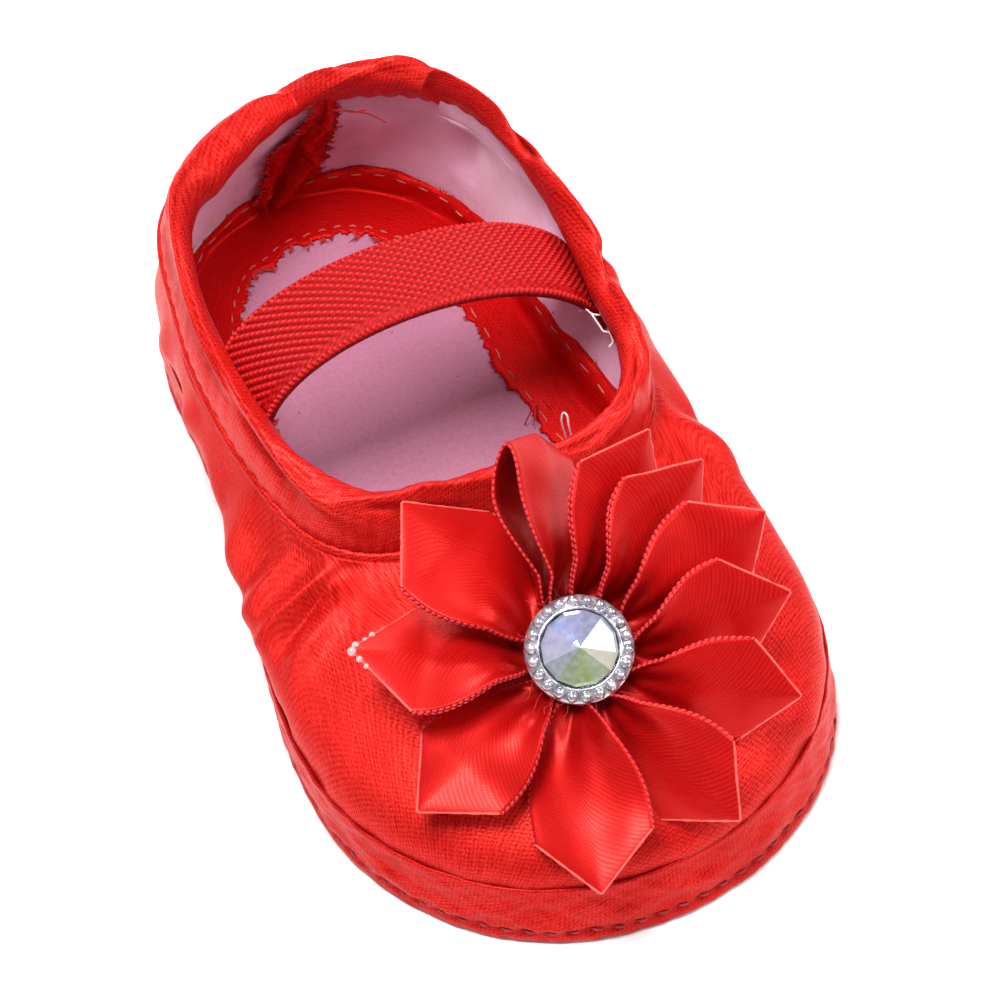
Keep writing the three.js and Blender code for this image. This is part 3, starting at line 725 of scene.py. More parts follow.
# The collar at distances from its notch: its height, how far it leans in beyond the plain
# collar (degrees) and how much its inner side is blown up.
COLLAR_WALK, COLLAR_HIGH, COLLAR_LEAN, COLLAR_FULL = np.array([
    (-100, 8.5, 0, 0.2), (-75, 8.5, 0, 0.3), (-60, 8.3, 2, 0.8), (-40, 8.3, 8, 1.4),
    (-30, 8.0, 12, 2.4), (-20, 7.6, 10, 2.6), (-13, 6.6, 6, 2.2), (-8, 5.2, 0, 1.6),
    (-5, 4.2, 0, 0.6), (-3.4, 3.4, 0, 0), (-2.6, 4.6, 0, 0), (-1.5, 6.4, 0, 0.2),
    (1, 8.2, 0, 0.4), (5, 9.4, 0, 0.6), (8, 9.6, 0, 0.6), (14, 9.0, 2, 0.8), (20, 8.0, 4, 1.4),
    (27, 7.6, 5, 1.3), (35, 8.0, 6, 1.7), (50, 8.3, 4, 1.2), (58, 8.3, -2, 0.3),
    (72, 7.6, -14, 0), (82, 7.8, -12, 0), (92, 8.4, -4, 0), (100, 8.5, 0, 0.2)]).T


def collar_number(share, numbers):
    """One of the collar's numbers round the shoe, from its values at the distances above."""
    return np.interp(from_notch(share), COLLAR_WALK, numbers)


def collar_frame(share):
    """Middle of the collar's lower edge, the way up the collar and the way into the opening."""
    wall = seam_direction(share)
    level = unit(wall * [1, 1, 0])
    lean = np.radians(round_the_shoe(share)[..., 5])[..., None]
    z = np.array([0, 0, 1.0])
    across = level * np.cos(lean) - z * np.sin(lean)
    room = np.abs((across * wall).sum(-1, keepdims=True)) * COLLAR_THICKNESS / 2
    foot = skin_inside(share, 1.0, UPPER_WALL / 2) + wall * (CLEARANCE + room)
    lean = lean + np.radians(collar_number(share, COLLAR_LEAN))[..., None]
    upright = level * np.sin(lean) + z * np.cos(lean)
    return foot, upright, level * np.cos(lean) - z * np.sin(lean)


def collar_point(share, height, depth):
    """A point on the collar: height from its lower edge, depth from its middle into the shoe."""
    foot, upright, across = collar_frame(share)
    return foot + upright * np.asarray(height)[..., None] + across * np.asarray(depth)[..., None]


# Folds of the casing: distance from the notch, half its length, place round the casing there
# (degrees: 0 outside, 90 top, 180 inside), its turn for each millimetre, its width (degrees)
# and its height.
CASING_FOLDS = [
    (-16, 14, 62, 0.8, 16, 0.55), (-22, 16, 25, 0.5, 14, 0.40), (-36, 18, 48, 0.6, 13, 0.60),
    (-40, 16, 12, -0.8, 16, -0.55), (-52, 16, 70, 1.2, 18, 0.60), (-60, 12, 35, 2.4, 16, -0.55),
    (-66, 13, 95, -3.0, 20, 0.75), (-72, 12, 30, 2.2, 15, 0.65), (-82, 12, 60, -1.8, 17, 0.55),
    (-88, 10, 20, 2.5, 14, -0.50), (-95, 9, 70, 3.0, 17, 0.50), (-1.5, 4, 40, 14, 20, 0.60),
    (2.5, 5, 70, 9, 18, -0.60), (6, 7, 95, -7, 22, 0.70), (12, 9, 50, 3.0, 18, -0.45),
    (22, 10, 60, -2.0, 20, 0.45), (29, 6, 80, 9, 24, -0.90), (34, 9, 120, -6, 24, 0.60),
    (40, 9, 60, -5.0, 26, 0.95), (47, 6, 40, 9, 20, -0.85), (55, 10, 50, -3.0, 24, 0.80),
    (66, 9, 70, 3.0, 18, -0.45), (74, 9, 40, -3.0, 17, 0.50), (86, 9, 70, 3.0, 17, -0.45)]


def collar_relief(share, angle):
    """How far the casing stands off its plain tube: its folds, each a bell across and along,
    soft waves, and the close gathers at its sewn edge."""
    walk = from_notch(share)
    spots = np.stack(np.broadcast_arrays(walk, 3.5 * np.cos(angle), 3.5 * np.sin(angle)), -1)
    relief = 0.14 * ripple(spots, 9.0, 71) + 0.06 * ripple(spots * [1, 0.6, 0.6], 2.6, 72)
    for middle, half, place, slope, width, height in CASING_FOLDS:
        centre = np.radians(place + slope * (walk - middle))
        away = np.mod(angle - centre + np.pi, TURN) - np.pi
        reach = np.exp(-((walk - middle) / half) ** 4 * 1.5)
        relief = relief + 1.3 * height * reach * np.exp(-(away / np.radians(width)) ** 2)
    low = np.clip(-np.sin(angle), 0, 1) ** 2
    return relief + 0.25 * low * np.sin(walk / 2.3 * TURN + 2 * np.sin(walk / 7))


casing_satin = satin("casing_satin", RED, RED_LIGHT, RED_DARK, 12, rough=0.34)
# How far the casing's inner side stops short of the seam, at distances from the notch.
CASING_RAISED = [(-6, 0), (0, 2.0), (3, 3.6), (12, 4.4), (22, 3.8), (34, 1.2), (44, 0)]
share, around = shares_round(860), 40
angle = ((np.arange(around) + 0.5) / around * TURN)[None, :]
wide = np.sign(np.cos(angle)) * np.abs(np.cos(angle)) ** 0.8
tall = np.sign(np.sin(angle)) * np.abs(np.sin(angle)) ** 0.6
relief = collar_relief(share, angle)
inner_side = np.clip(-wide, 0, 1)
full = collar_number(share, COLLAR_FULL) * inner_side * (0.4 + 0.6 * np.clip(tall + 0.7, 0, 1))
raised = np.interp(from_notch(share), *np.array(CASING_RAISED).T)
height = collar_number(share, COLLAR_HIGH) / 2 * (1 + tall) - full * 0.25
height = height + relief * np.sin(angle) * np.clip(tall + 0.6, 0, 1)
height = height + raised * inner_side * (1 - tall) / 2
depth = COLLAR_THICKNESS / 2 * -wide - relief * np.cos(angle) * 1.2 + full
section = collar_point(share, height, depth)
cloth = flat_cloth(share * SEAM_LENGTH, walk_along(section[300], True))
# Painted shade in the troughs of the casing's folds.
painted_shade = np.clip(-relief * 1.2 - 0.1, 0, 1)
piece("collar_casing", [grid(section[:-1], cloth, True, True)], casing_satin, "satin",
      ["collar_binding"], marks={"painted_shade": painted_shade[:-1]})

# The lining reaches up the inside of the casing beside the notch.
share = shares_round(480)
reach_up = np.interp(from_notch(share), *np.array(CASING_RAISED).T) * 0.95
low, brim = np.full_like(share, 0.91), np.ones_like(share)
swell = 0.22 * ripple(skin(share, brim), 9, 31)
low_end = skin_inside(share, low, UPPER_WALL - 0.15 - upper_relief(share, low)[0])
bend = skin_inside(share, brim, UPPER_WALL + 0.2 + swell - upper_relief(share, brim)[0])
top_end = collar_point(share, reach_up, COLLAR_THICKNESS / 2 - 0.65)
t = np.linspace(0, 1, 5)[None, :, None]
face = np.concatenate([low_end * (1 - t) + bend * t, (bend * (1 - t) + top_end * t)[:, 1:]], 1)
across = collar_frame(share)[2]
section = np.concatenate([face, (face - across * 0.25)[:, ::-1]], 1)
cloth = flat_cloth(share * SEAM_LENGTH, np.arange(19) * 0.4)
piece("lining_edge", [grid(section[:-1], cloth, True, True)], lining_felt, "board")

# The rolled seam under the casing.
SEAM_RADIUS, SEAM_SIDES = 0.95, 10
share = shares_round(640)
foot, upright, across = collar_frame(share)
line = foot - upright * 0.25 - across * 0.55
line[..., 2] += 0.15 * np.sin(share * PERIMETER / 3.1)
turn = (np.arange(SEAM_SIDES) / SEAM_SIDES * TURN)[None, :, None]
ring = line + SEAM_RADIUS * (upright * np.sin(turn) * 0.8 - across * np.cos(turn))
cloth = flat_cloth(share * SEAM_LENGTH, np.arange(SEAM_SIDES + 1) * 0.45)
piece("collar_seam", [grid(ring[:-1], cloth, True, True)], casing_satin, "satin")

# Seam tape: satin over the inner seam all round, lying on the insole and turned up the wall.
# Its edges are raw and frayed, and two rows of pale stitches hold it.
TAPE_ON_FLOOR, TAPE_AT_HEEL, TAPE_BEND = 7.0, 1.4, 1.2
TAPE_FLOOR_COLUMNS, TAPE_WALL_COLUMNS = 14, 16
tape_satin = satin("tape_satin", (0.52, 0.002, 0.003, 1), (0.66, 0.010, 0.010, 1),
                   (0.40, 0.001, 0.002, 1), 0, gloss=0.12)
share = shares_round(720)
# The height to which the tape reaches up the wall, from share to share.
TAPE_TOPS = [(-0.5, 11), (-0.30, 11), (-0.20, 8.0), (-0.12, 6.2), (-0.056, 5.6), (-0.043, 6.0),
             (-0.029, 6.6), (-0.015, 6.9), (0.01, 7.2), (0.033, 7.5), (0.043, 8.3), (0.062, 8.7),
             (0.084, 7.9), (0.104, 8.0), (0.125, 9.2), (0.167, 10.3), (0.195, 11.2), (0.22, 10.0),
             (0.30, 11), (0.5, 11)]


def tape_floor(share, reach, lift):
    """A point of the tape's floor part: reach from the corner, lift above the insole."""
    lean = round_the_shoe(share)[..., 8] * BAND_INSET
    corner = lean * (INSOLE_TOP + CLEARANCE) / BAND_HEIGHT + BAND_WALL + CLEARANCE
    return outline(share, corner + reach, INSOLE_TOP + lift)


def tape_wall(share, up, lift):
    """A point of the tape's wall part: at a height above the floor, lift in from the wall."""
    rise = np.clip((up - 8.5) / 26, 0, 1)
    down = np.clip(8.5 - up, 0, 9)[..., None] * np.array([0, 0, 1.0])
    return skin_inside(share, rise, UPPER_WALL + 0.25 + lift) - down


rim = outline(share)
jag = 0.6 * ripple(rim, 6.0, 41) + 0.35 * ripple(rim, 1.9, 42) + 0.25 * ripple(rim, 0.8, 46)
from_heel = np.mod(share + 0.5, 1) - 0.5
heel_part = np.exp(-(from_heel / 0.16) ** 2)
reach_in = TAPE_ON_FLOOR + TAPE_AT_HEEL * heel_part
t = np.linspace(0, 1, TAPE_FLOOR_COLUMNS)[None, :]
floor_reach = reach_in + t * (TAPE_BEND - reach_in) + jag * np.clip(1 - 4 * t, 0, 1)
waves = 1 + ripple(outline(share, floor_reach), 7, 43)
floor_part = tape_floor(share, floor_reach, 0.42 + 0.20 * waves * (0.3 + 0.7 * t))
wall_low = INSOLE_TOP + 0.9
wall_top = np.interp(from_heel, *np.array(TAPE_TOPS).T) + 0.25 * ripple(rim, 9, 45)
t = np.linspace(0, 1, TAPE_WALL_COLUMNS)[None, :]
up = wall_low + t * (wall_top - wall_low)
wall_lift = 0.45 + 0.28 * (1 + ripple(outline(share, 0.0, up * 1.5), 6, 44))
wall_part = tape_wall(share, up, wall_lift - 0.75 * np.clip(4 * t - 3, 0, 1) ** 2)
under = np.concatenate([tape_floor(share, floor_reach, 0.05), tape_wall(share, up, -0.6)], 1)
section = np.concatenate([under, wall_part[:, ::-1], floor_part[:, ::-1]], 1)
cloth = flat_cloth(share * PERIMETER, walk_along(section[200], True))
piece("seam_tape_satin", [grid(section[:-1], cloth, True, True)], tape_satin, "satin",
      ["seam_tape"], marks={"painted_shade": np.zeros(section[:-1].shape[:2])})


def fray(edge, out, along, long, count, seed):
    """Fibres that stand out from a raw edge in tufts: along the edge's points, in the outward
    direction there bent towards its neighbours, each a fine strand of a few points."""
    long = np.broadcast_to(long, len(edge))
    draw = np.random.default_rng(seed)
    tuft = draw.integers(0, len(edge), count // 6).repeat(6)
    at = np.mod(tuft + draw.normal(0, 1.1, len(tuft)).astype(int), len(edge))
    bend = np.sin(tuft * 1.7) * 0.7 + draw.normal(0, 0.25, len(at))
    size = long[at] * (0.6 + 0.5 * np.sin(tuft * 2.3)) * draw.uniform(0.6, 1.2, len(at))
    step = np.linspace(-0.4, 1, 4)[None, :, None]
    way = out[at] + along[at] * bend[:, None]
    lift = draw.normal(0, 0.12, len(at))[:, None, None] * [0, 0, 1.0]
    paths = edge[at][:, None] + way[:, None] * size[:, None, None] * step + lift * step ** 2
    return strands(paths, np.array([0.10, 0.09, 0.07, 0.03]), 3)


raw_edge = floor_part[:-1, 0] - [0, 0, 0.1]
along = unit(np.roll(raw_edge, -1, 0) - np.roll(raw_edge, 1, 0))
inward = -outward(share[:-1, 0])
wall_edge = wall_part[:-1, -1] + inward * 0.05
fringe = [fray(raw_edge, inward, along, 0.25 + 0.75 * heel_part[:-1, 0] ** 2, 1900, 47),
          fray(wall_edge, inward * 0.15 + [0, 0, 1.0], along, 0.6, 1300, 48)]
frayed_red = thread_finish("frayed_red", (0.58, 0.004, 0.006, 1), 0.7)
piece("seam_tape_fringe", fringe, frayed_red, "satin")
STITCH_STEP, STITCH_DASH = 3.6, 2.1
count = int(PERIMETER / STITCH_STEP)
places = (np.arange(count) + 0.5)[:, None] / count
places = places + np.linspace(-0.5, 0.5, 5)[None, :] * STITCH_DASH / PERIMETER
rank = np.mod(places, 1.0) * (len(share) - 1)
sink = np.array([-0.10, 0.03, 0.06, 0.03, -0.10])[None, :, None]
thick = np.array([0.05, 0.10, 0.11, 0.10, 0.05])
dashes = []
upwards = np.array([0, 0, 1.0])
for line, way in ((floor_part[:, 2], upwards), (wall_part[:, 12], upwards - outward(places))):
    path = path_at(rank, np.arange(len(share)), line)
    dashes.append(strands(path + way * sink, thick, 6))
piece("seam_tape_stitches", dashes, pale_thread, "satin")

# Back tape: the raw seam allowance behind the heel, a crumpled strip of satin that slants up
# the lining from the seam tape to the notch.
# For each of a few heights: the middle's share, half the width there and how far it stands in.
BACK_TAPE = [(5.4, -0.004, 0.008, 2.4), (7.0, 0.001, 0.012, 2.6), (8.6, 0.006, 0.015, 2.2),
             (12.0, 0.011, 0.0155, 1.9), (18, 0.012, 0.0150, 1.7), (23.0, 0.013, 0.0140, 1.5),
             (26.5, 0.015, 0.0125, 1.4), (31.0, 0.018, 0.0095, 1.2), (34.5, 0.021, 0.0075, 1.0),
             (38.4, 0.0225, 0.0060, 0.7)]
rows, columns = 100, 34
up = np.linspace(BACK_TAPE[0][0], BACK_TAPE[-1][0], rows)[:, None]
across = np.linspace(-1, 1, columns)[None, :]
heights, middles, halves, proud = np.array(BACK_TAPE).T
edge_wave = 0.0015 * np.sin(up * 2.1 + across * 1.5) + 0.0010 * np.sin(up * 5.3 + across)
share = np.interp(up, heights, middles) + (np.interp(up, heights, halves) + edge_wave) * across
fold = np.exp(-((across - 0.35 + 0.25 * np.sin(up * 0.35)) / 0.22) ** 2)
fold = fold - 0.6 * np.exp(-((across + 0.15 + 0.2 * np.sin(up * 0.3)) / 0.18) ** 2)
fold = fold + 0.5 * np.exp(-((across + 0.7) / 0.25) ** 2)
spots = tape_wall(share, up, 0.0)
crumple = 0.22 * ripple(spots * [1.6, 1, 0.5], 4.0, 51) + 0.16 * ripple(spots, 1.8, 52)
stand_off = np.interp(up, heights, proud) * (0.45 + 0.55 * fold) + crumple


def back_face(lift):
    """The back tape's surface, lift in from the lining, and higher up from the casing."""
    low = tape_wall(share, up, lift)
    high = collar_point(share, np.clip(up - 34.2, 0, 5), COLLAR_THICKNESS / 2 + 0.5 * lift)
    part = np.clip((up - 32.5) / 2.5, 0, 1)[..., None]
    return low * (1 - part) + high * part


front = back_face(np.clip(stand_off, 0.3, 4))
back = back_face(np.clip(stand_off, 0.3, 4) - 0.35)
section = np.concatenate([back[:, ::-1], front], 1)
cloth = flat_cloth((np.arange(rows)[:, None] + 1) * 0.26,
                   np.append(np.arange(2 * columns), 0) * 0.24)
# Painted shade where the tape sinks back towards the lining, away from its folds.
painted_shade = np.clip(0.55 - 0.75 * fold - 0.4 * crumple, 0, 1)
piece("back_tape_satin", [grid(section, cloth, False, True, True)], tape_satin, "satin",
      ["back_seam_tape"], marks={"painted_shade": np.concatenate([np.zeros_like(painted_shade), painted_shade], 1)})
over_it = front[:, -1] - front[:, 0]
tails = [fray(line, unit(hand * over_it), unit(np.gradient(line, axis=0)), 0.55, 300, 53 + hand)
         for line, hand in ((front[:, 0], -1), (front[:, -1], 1))]
piece("back_tape_fringe", tails, frayed_red, "satin")

# Strap: a woven elastic over the instep, its ends tucked inside the collar. Ribs of twisted
# thread cross it, with a finer cord along each edge.
STRAP_WIDTH, STRAP_THICKNESS, STRAP_ALONG, STRAP_GAP = 11.3, 1.3, 13.4, 0.5
RIGHT_END, RIGHT_LEAN, RIGHT_PEAK = -3.0, 5.8, 40.0
LEFT_END, LEFT_LEAN, LEFT_PEAK = 3.0, 2.2, 41.6
RIB_PITCH, TWIST_PITCH, RIB_SLANT = 0.90, 0.80, np.radians(33.0)
strap_depth = COLLAR_THICKNESS / 2 + STRAP_GAP + STRAP_THICKNESS / 2
shares = np.linspace(0.15, 0.42, 400)


def strap_end(along, side, height):
    """Where the strap meets the inside of the collar, at a distance along the shoe."""
    there = shares if side > 0 else 1 - shares
    foot = collar_point(there, 0.0, 0.0)
    share = np.interp(-along, -foot[:, 1], there)
    return collar_point(share, height, strap_depth)


def strap_face(place, across, lift):
    """The strap's middle surface: for each line across it, a cubic from the right end over the
    instep to the left end, moved outwards by lift."""
    place, across, lift = np.broadcast_arrays(place, across, lift)
    along = STRAP_ALONG + across * STRAP_WIDTH / 2
    right, left = strap_end(along, 1, RIGHT_END), strap_end(along, -1, LEFT_END)
    b = right * [1, 1, 0] + [-RIGHT_LEAN, 0, RIGHT_PEAK]
    c = left * [1, 1, 0] + [LEFT_LEAN, 0, LEFT_PEAK]
    t = place[..., None]
    spot = (1 - t) ** 3 * right + 3 * (1 - t) ** 2 * t * b + 3 * (1 - t) * t * t * c + t ** 3 * left
    ahead = (1 - t) ** 2 * (b - right) + 2 * (1 - t) * t * (c - b) + t * t * (left - c)
    return spot + unit(np.cross([0.0, 1.0, 0.0], ahead)) * lift[..., None]


elastic, tree, shader = finish("elastic_red")
raised = mark(tree, "raised")
fuzz = noise(tree, on_cloth(tree), 3.5, 3, 0.6)
# The colour is painted light read from the raised mark: painted shade in the gaps between the ribs
# and a painted highlight on the highest beads.
colour = blend(tree, spread(tree, raised, 0.10, 0.80),
               (0.20, 0.000, 0.001, 1), (0.50, 0.004, 0.006, 1))
colour = blend(tree, spread(tree, raised, 0.80, 1.05, 0.0, 0.6), colour, (0.85, 0.09, 0.08, 1))
colour = blend(tree, spread(tree, fuzz, 0.45, 0.75, 0.0, 0.25), colour, (0.70, 0.04, 0.04, 1))
dress(tree, shader, Base_Color=colour, Roughness=0.55, Specular_IOR_Level=0.15)
settle(tree, shader, fuzz, 0.4, 0.00008)
columns = 104
place = np.linspace(0, 1, 600)[:, None]
across = np.linspace(-1, 1, columns)[None, :]
run = walk_along(strap_face(place, across, 0.0)[:, columns // 2])[:, None]
wide = across * STRAP_WIDTH / 2
row = (wide * np.cos(RIB_SLANT) - run * np.sin(RIB_SLANT)) / RIB_PITCH
on_row = (wide * np.sin(RIB_SLANT) + run * np.cos(RIB_SLANT)) / TWIST_PITCH
on_row = on_row + 0.37 * (np.floor(row) % 3)
ridge = np.clip(np.sin(np.pi * (row % 1.0)), 0, 1) ** 0.9
bead = 0.5 + 0.5 * np.sin(TURN * (on_row + 0.55 * (row % 1.0)))
raised = ridge * (0.45 + 0.60 * bead)
from_edge = STRAP_WIDTH / 2 - np.abs(wide)
hem = np.clip((1.9 - from_edge) / 0.5, 0, 1) * (wide < 0)
fine = np.sin(np.pi * (run / 0.62 + wide * 0.8)) * np.sin(np.pi * (wide / 0.45 + run * 0.3))
raised = raised * (1 - hem) + hem * (0.42 + 0.28 * fine)
cord_bead = 0.62 + 0.38 * np.sin(run / 0.75 * TURN + np.sign(wide))
raised = np.where(from_edge < 0.55, cord_bead * np.clip(from_edge / 0.35, 0, 1) ** 0.5, raised)
lift = STRAP_THICKNESS / 2 - 0.38 + 0.46 * raised
few = np.append(np.arange(0, columns - 1, 6), columns - 1)[::-1]
section = np.concatenate([strap_face(place, across, lift),
                          strap_face(place, across[:, few], -lift[:, few])], 1)
cloth = flat_cloth(run, np.concatenate([wide, wide[:, few], wide[:, :1]], 1))
piece("strap_elastic", [grid(section, cloth, False, True, True)], elastic, "elastic", ["strap"],
      marks={"raised": np.concatenate([raised, raised[:, few]], 1)})

# Flower: eleven loops of one satin ribbon, each folded to a right-angled point and drawn
# together at the middle, where they lie over one another. The ribbon has a beaded selvedge
# and a fine slanting twill.
FLOWER_PLACE, FLOWER_ASIDE, FLOWER_STAND, FLOWER_TILT, FLOWER_TURN = 0.656, -1.5, 4.3, 26.0, -9.0
FLOWER_REACH, RIBBON_WIDTH, RIBBON_THICKNESS = 27.0, 16.0, 0.4
RIBBON_GATHER, PINCH_GAP, GATHER_RADIUS, PICOT_PITCH = 1.1, 0.9, 5.6, 0.78
# For each loop: the angle of its tip, its reach, its bank, its lift, its width, its cup, its
# crown, the gap between its layers and how pointed its fold is.
PETALS = [
    (12.5, 1.01, 28, 5.5, 14.3, 1.8, 1.0, 1.8, 1.0), (33, 0.99, 43, 7, 15.8, 1.8, 0.9, 1.8, 1.0),
    (48, 1.01, 43, 10, 15.2, 1.8, 0.8, 1.8, 1.0), (77, 0.96, 60, 12, 14.5, 1.4, 0.2, 5.5, 0.25),
    (115.5, 1.00, 22, 8, 15.4, 1.8, 1.4, 1.8, 1.0),
    (155.5, 0.985, 32, 7.5, 16.2, 1.8, 1.5, 1.8, 1.0),
    (200.8, 0.99, 17, 9.5, 14.2, 1.8, 1.2, 1.8, 1.0),
    (250.5, 1.085, 16, 16, 14.2, 2.6, 0.3, 1.6, 1.0),
    (288.3, 1.03, 34, 15.5, 14.4, 2.2, 0.8, 1.6, 1.0),
    (324, 0.98, 31, 9.7, 13.0, 2.0, 1.4, 1.8, 1.0),
    (351.3, 0.95, 34, 8, 14.4, 1.8, 1.2, 1.6, 1.0)]
tilt, turn = np.radians(FLOWER_TILT), np.radians(FLOWER_TURN)
lean_back = np.array([[1, 0, 0], [0, np.cos(tilt), -np.sin(tilt)], [0, np.sin(tilt), np.cos(tilt)]])
turn_aside = np.array([[np.cos(turn), 0, np.sin(turn)], [0, 1, 0],
                       [-np.sin(turn), 0, np.cos(turn)]])
FLOWER_POSE = lean_back @ turn_aside
FLOWER_MIDDLE = skin(0.5, FLOWER_PLACE) + [FLOWER_ASIDE, 0, FLOWER_STAND]


def on_shoe(points):
    """Points of the flower's own frame, whose z is the way it faces, put on the shoe."""
    return points @ FLOWER_POSE.T + FLOWER_MIDDLE


def turned(v, axis, angle):
    """v turned about a unit axis by an angle."""
    along = axis * (axis @ v) * (1 - np.cos(angle))
    return v * np.cos(angle) + np.cross(axis, v) * np.sin(angle) + along


def loop_face(index, q, a, offset):
    """One face of a ribbon loop. q runs from the middle out along the lower layer (-1 to 0),
    round the tip and back (0 to 1); a runs across. The width opens from the gather to the full
    ribbon, the middle sinks near the gather, and the layers close in to a fold at the tip."""
    angle, reach, bank, lift, width, cup, crown, open_gap, pointed = PETALS[index]
    begin = np.radians(13 + index / len(PETALS) * 360)
    start = GATHER_RADIUS * np.array([np.cos(begin), np.sin(begin), 0])
    tip = reach * FLOWER_REACH * np.array([np.cos(np.radians(angle)), np.sin(np.radians(angle)), 0])
    length = np.linalg.norm(tip - start)
    axis = (tip - start) / length
    side = turned(np.array([-axis[1], axis[0], 0]), axis, np.radians(bank))
    axis = turned(axis, np.array([-axis[1], axis[0], 0]), -np.radians(lift))
    up = np.cross(axis, side)
    out = 1 - np.abs(q) ** 1.7
    layer = np.sign(q) * (1 - out ** 3.33) ** (0.5 + 0.2 * pointed)
    along = out * (length + offset - pointed * np.abs(a) * width / 2)
    t = np.clip(along / (length - width / 2), 0, 1)
    opened = t * t * (3 - 2 * t)
    wide = np.sin(np.pi / 2 * np.clip(t * 1.25, 0, 1)) ** 0.9
    half = (RIBBON_GATHER + (width - RIBBON_GATHER) * wide) / 2
    steep = np.radians(26) * (1 - opened) * np.clip(t * 3, 0, 1)
    gap = (PINCH_GAP + (open_gap - PINCH_GAP) * opened) * (1 - 0.55 * a * a * min(1.0, pointed))
    pleat = 0.22 * (1 - opened) * np.sin(a * 9 + index) * np.clip(t * 4, 0, 1)
    hump = crown * (1 - a * a) * np.sin(np.pi * np.clip(t * 1.05 - 0.05, 0, 1)) ** 1.5 * (q > 0)
    rise = cup * (1 - opened) * a * a + pleat + hump + layer * (gap / 2 + offset)
    sideways = side * np.cos(steep)[..., None] + up * np.sin(steep)[..., None]
    spot = start + axis * along[..., None] + sideways * ((a + 0.25) * half)[..., None]
    spot = spot - side * (0.25 * half)[..., None] + up * rise[..., None]
    spot = spot + up * (0.16 * ripple(spot, 7.0, 60 + index) * np.clip(t * 2, 0, 1))[..., None]
    return on_shoe(spot)


ribbon_satin = satin("ribbon_satin", (0.48, 0.002, 0.003, 1), (0.69, 0.012, 0.011, 1),
                     (0.36, 0.001, 0.002, 1), 38, depth=0.00003, rough=0.27, twill=True, gloss=0.42)
picot = thread_finish("picot_thread", (0.60, 0.010, 0.014, 1), 0.45)
columns = 34
q, a = np.meshgrid(np.linspace(-1, 1, 84), np.linspace(-1, 1, columns), indexing="ij")
half = RIBBON_THICKNESS / 2 + np.where(np.abs(a) > 0.93, 0.05, 0.0)
flat = np.concatenate([a[0], a[0, ::-1], a[0, :1]]) * RIBBON_WIDTH / 2
# Painted shade: the loops darken towards the middle, where they dive under each other, and the
# whole back face is shaded.
painted_shade = np.clip(0.75 * (1 - (1 - np.abs(q) ** 1.7) * 2.2), 0, 1)
painted_shade = np.concatenate([painted_shade, np.full_like(painted_shade, 0.6)], 1)
fold_highlights = []
for index in range(len(PETALS)):
    front, back = loop_face(index, q, a, half), loop_face(index, q, a, -half)
    section = np.concatenate([front, back[:, ::-1]], 1)
    cloth = flat_cloth(walk_along(front[:, columns // 2])[:, None], flat)
    name = f"petal_{index + 1:02d}"
    piece(name + "_ribbon", [grid(section, cloth, False, True, True)], ribbon_satin,
          "ribbon_satin", [name], marks={"painted_shade": painted_shade})
    edges = []
    for end in (-1.0, 1.0):
        line = loop_face(index, np.linspace(-0.97, 0.97, 400), np.full(400, end), 0.0)
        walk = walk_along(line)
        count = int(walk[-1] / PICOT_PITCH)
        at = (np.arange(count) + 0.5) / count * walk[-1]
        spots = path_at(at, walk, line)
        ahead = unit(np.gradient(spots, axis=0))
        steps = np.array([-0.32, -0.19, 0.0, 0.19, 0.32])[None, :, None]
        paths = spots[:, None] + ahead[:, None] * steps
        edges.append(strands(paths, np.array([0.07, 0.16, 0.20, 0.16, 0.07]), 6))
    piece(name + "_selvedge", edges, picot, "ribbon_satin")
    # A pale strand laid along each pointed fold is a painted highlight on the fold's edge.
    if PETALS[index][8] == 1.0:
        span = np.linspace(-0.98, 0.98, 60)
        rim = loop_face(index, np.zeros(60), span, 0.06)
        fold_highlights.append(strands(rim[None], 0.15 + 0.05 * ripple(rim, 1.3, 66), 6))
fold_highlight_thread = thread_finish("fold_highlight_thread", (0.72, 0.07, 0.055, 1), 0.45)
piece("fold_highlight_strands", fold_highlights, fold_highlight_thread, "ribbon_satin")

# Setting: a silvered ring of clear plastic beads round a cup, glued on the flower's middle.
SETTING_RISE, SETTING_HEIGHT = 2.7, 2.2
BEAD_COUNT, BEAD_RADIUS, BEAD_RING = 22, 0.72, 5.62


def lathe(profile, sides):
    """A profile of (radius, height) turned about the flower's z axis, ends on the axis."""
    profile = np.asarray(profile, float)
    angle = np.arange(sides + 1)[:, None] / sides * TURN
    r, z = profile[None, :, 0], profile[None, :, 1]
    points = np.stack(np.broadcast_arrays(r * np.cos(-angle), r * np.sin(-angle), z), -1)
    return grid(on_shoe(points[:-1]), flat_cloth(angle * 4, z + r), close_rows=True)


def ball(sides, rings):
    """A unit ball's points from pole to pole round its sides, and their places on its cloth."""
    around = (np.arange(sides + 1) / sides * TURN)[:, None]
    rise = np.linspace(-np.pi / 2, np.pi / 2, rings)[None, :]
    points = [np.cos(rise) * np.cos(-around), np.cos(rise) * np.sin(-around), np.sin(rise)]
    return np.stack(np.broadcast_arrays(*points), -1)[:-1], flat_cloth(around, rise)


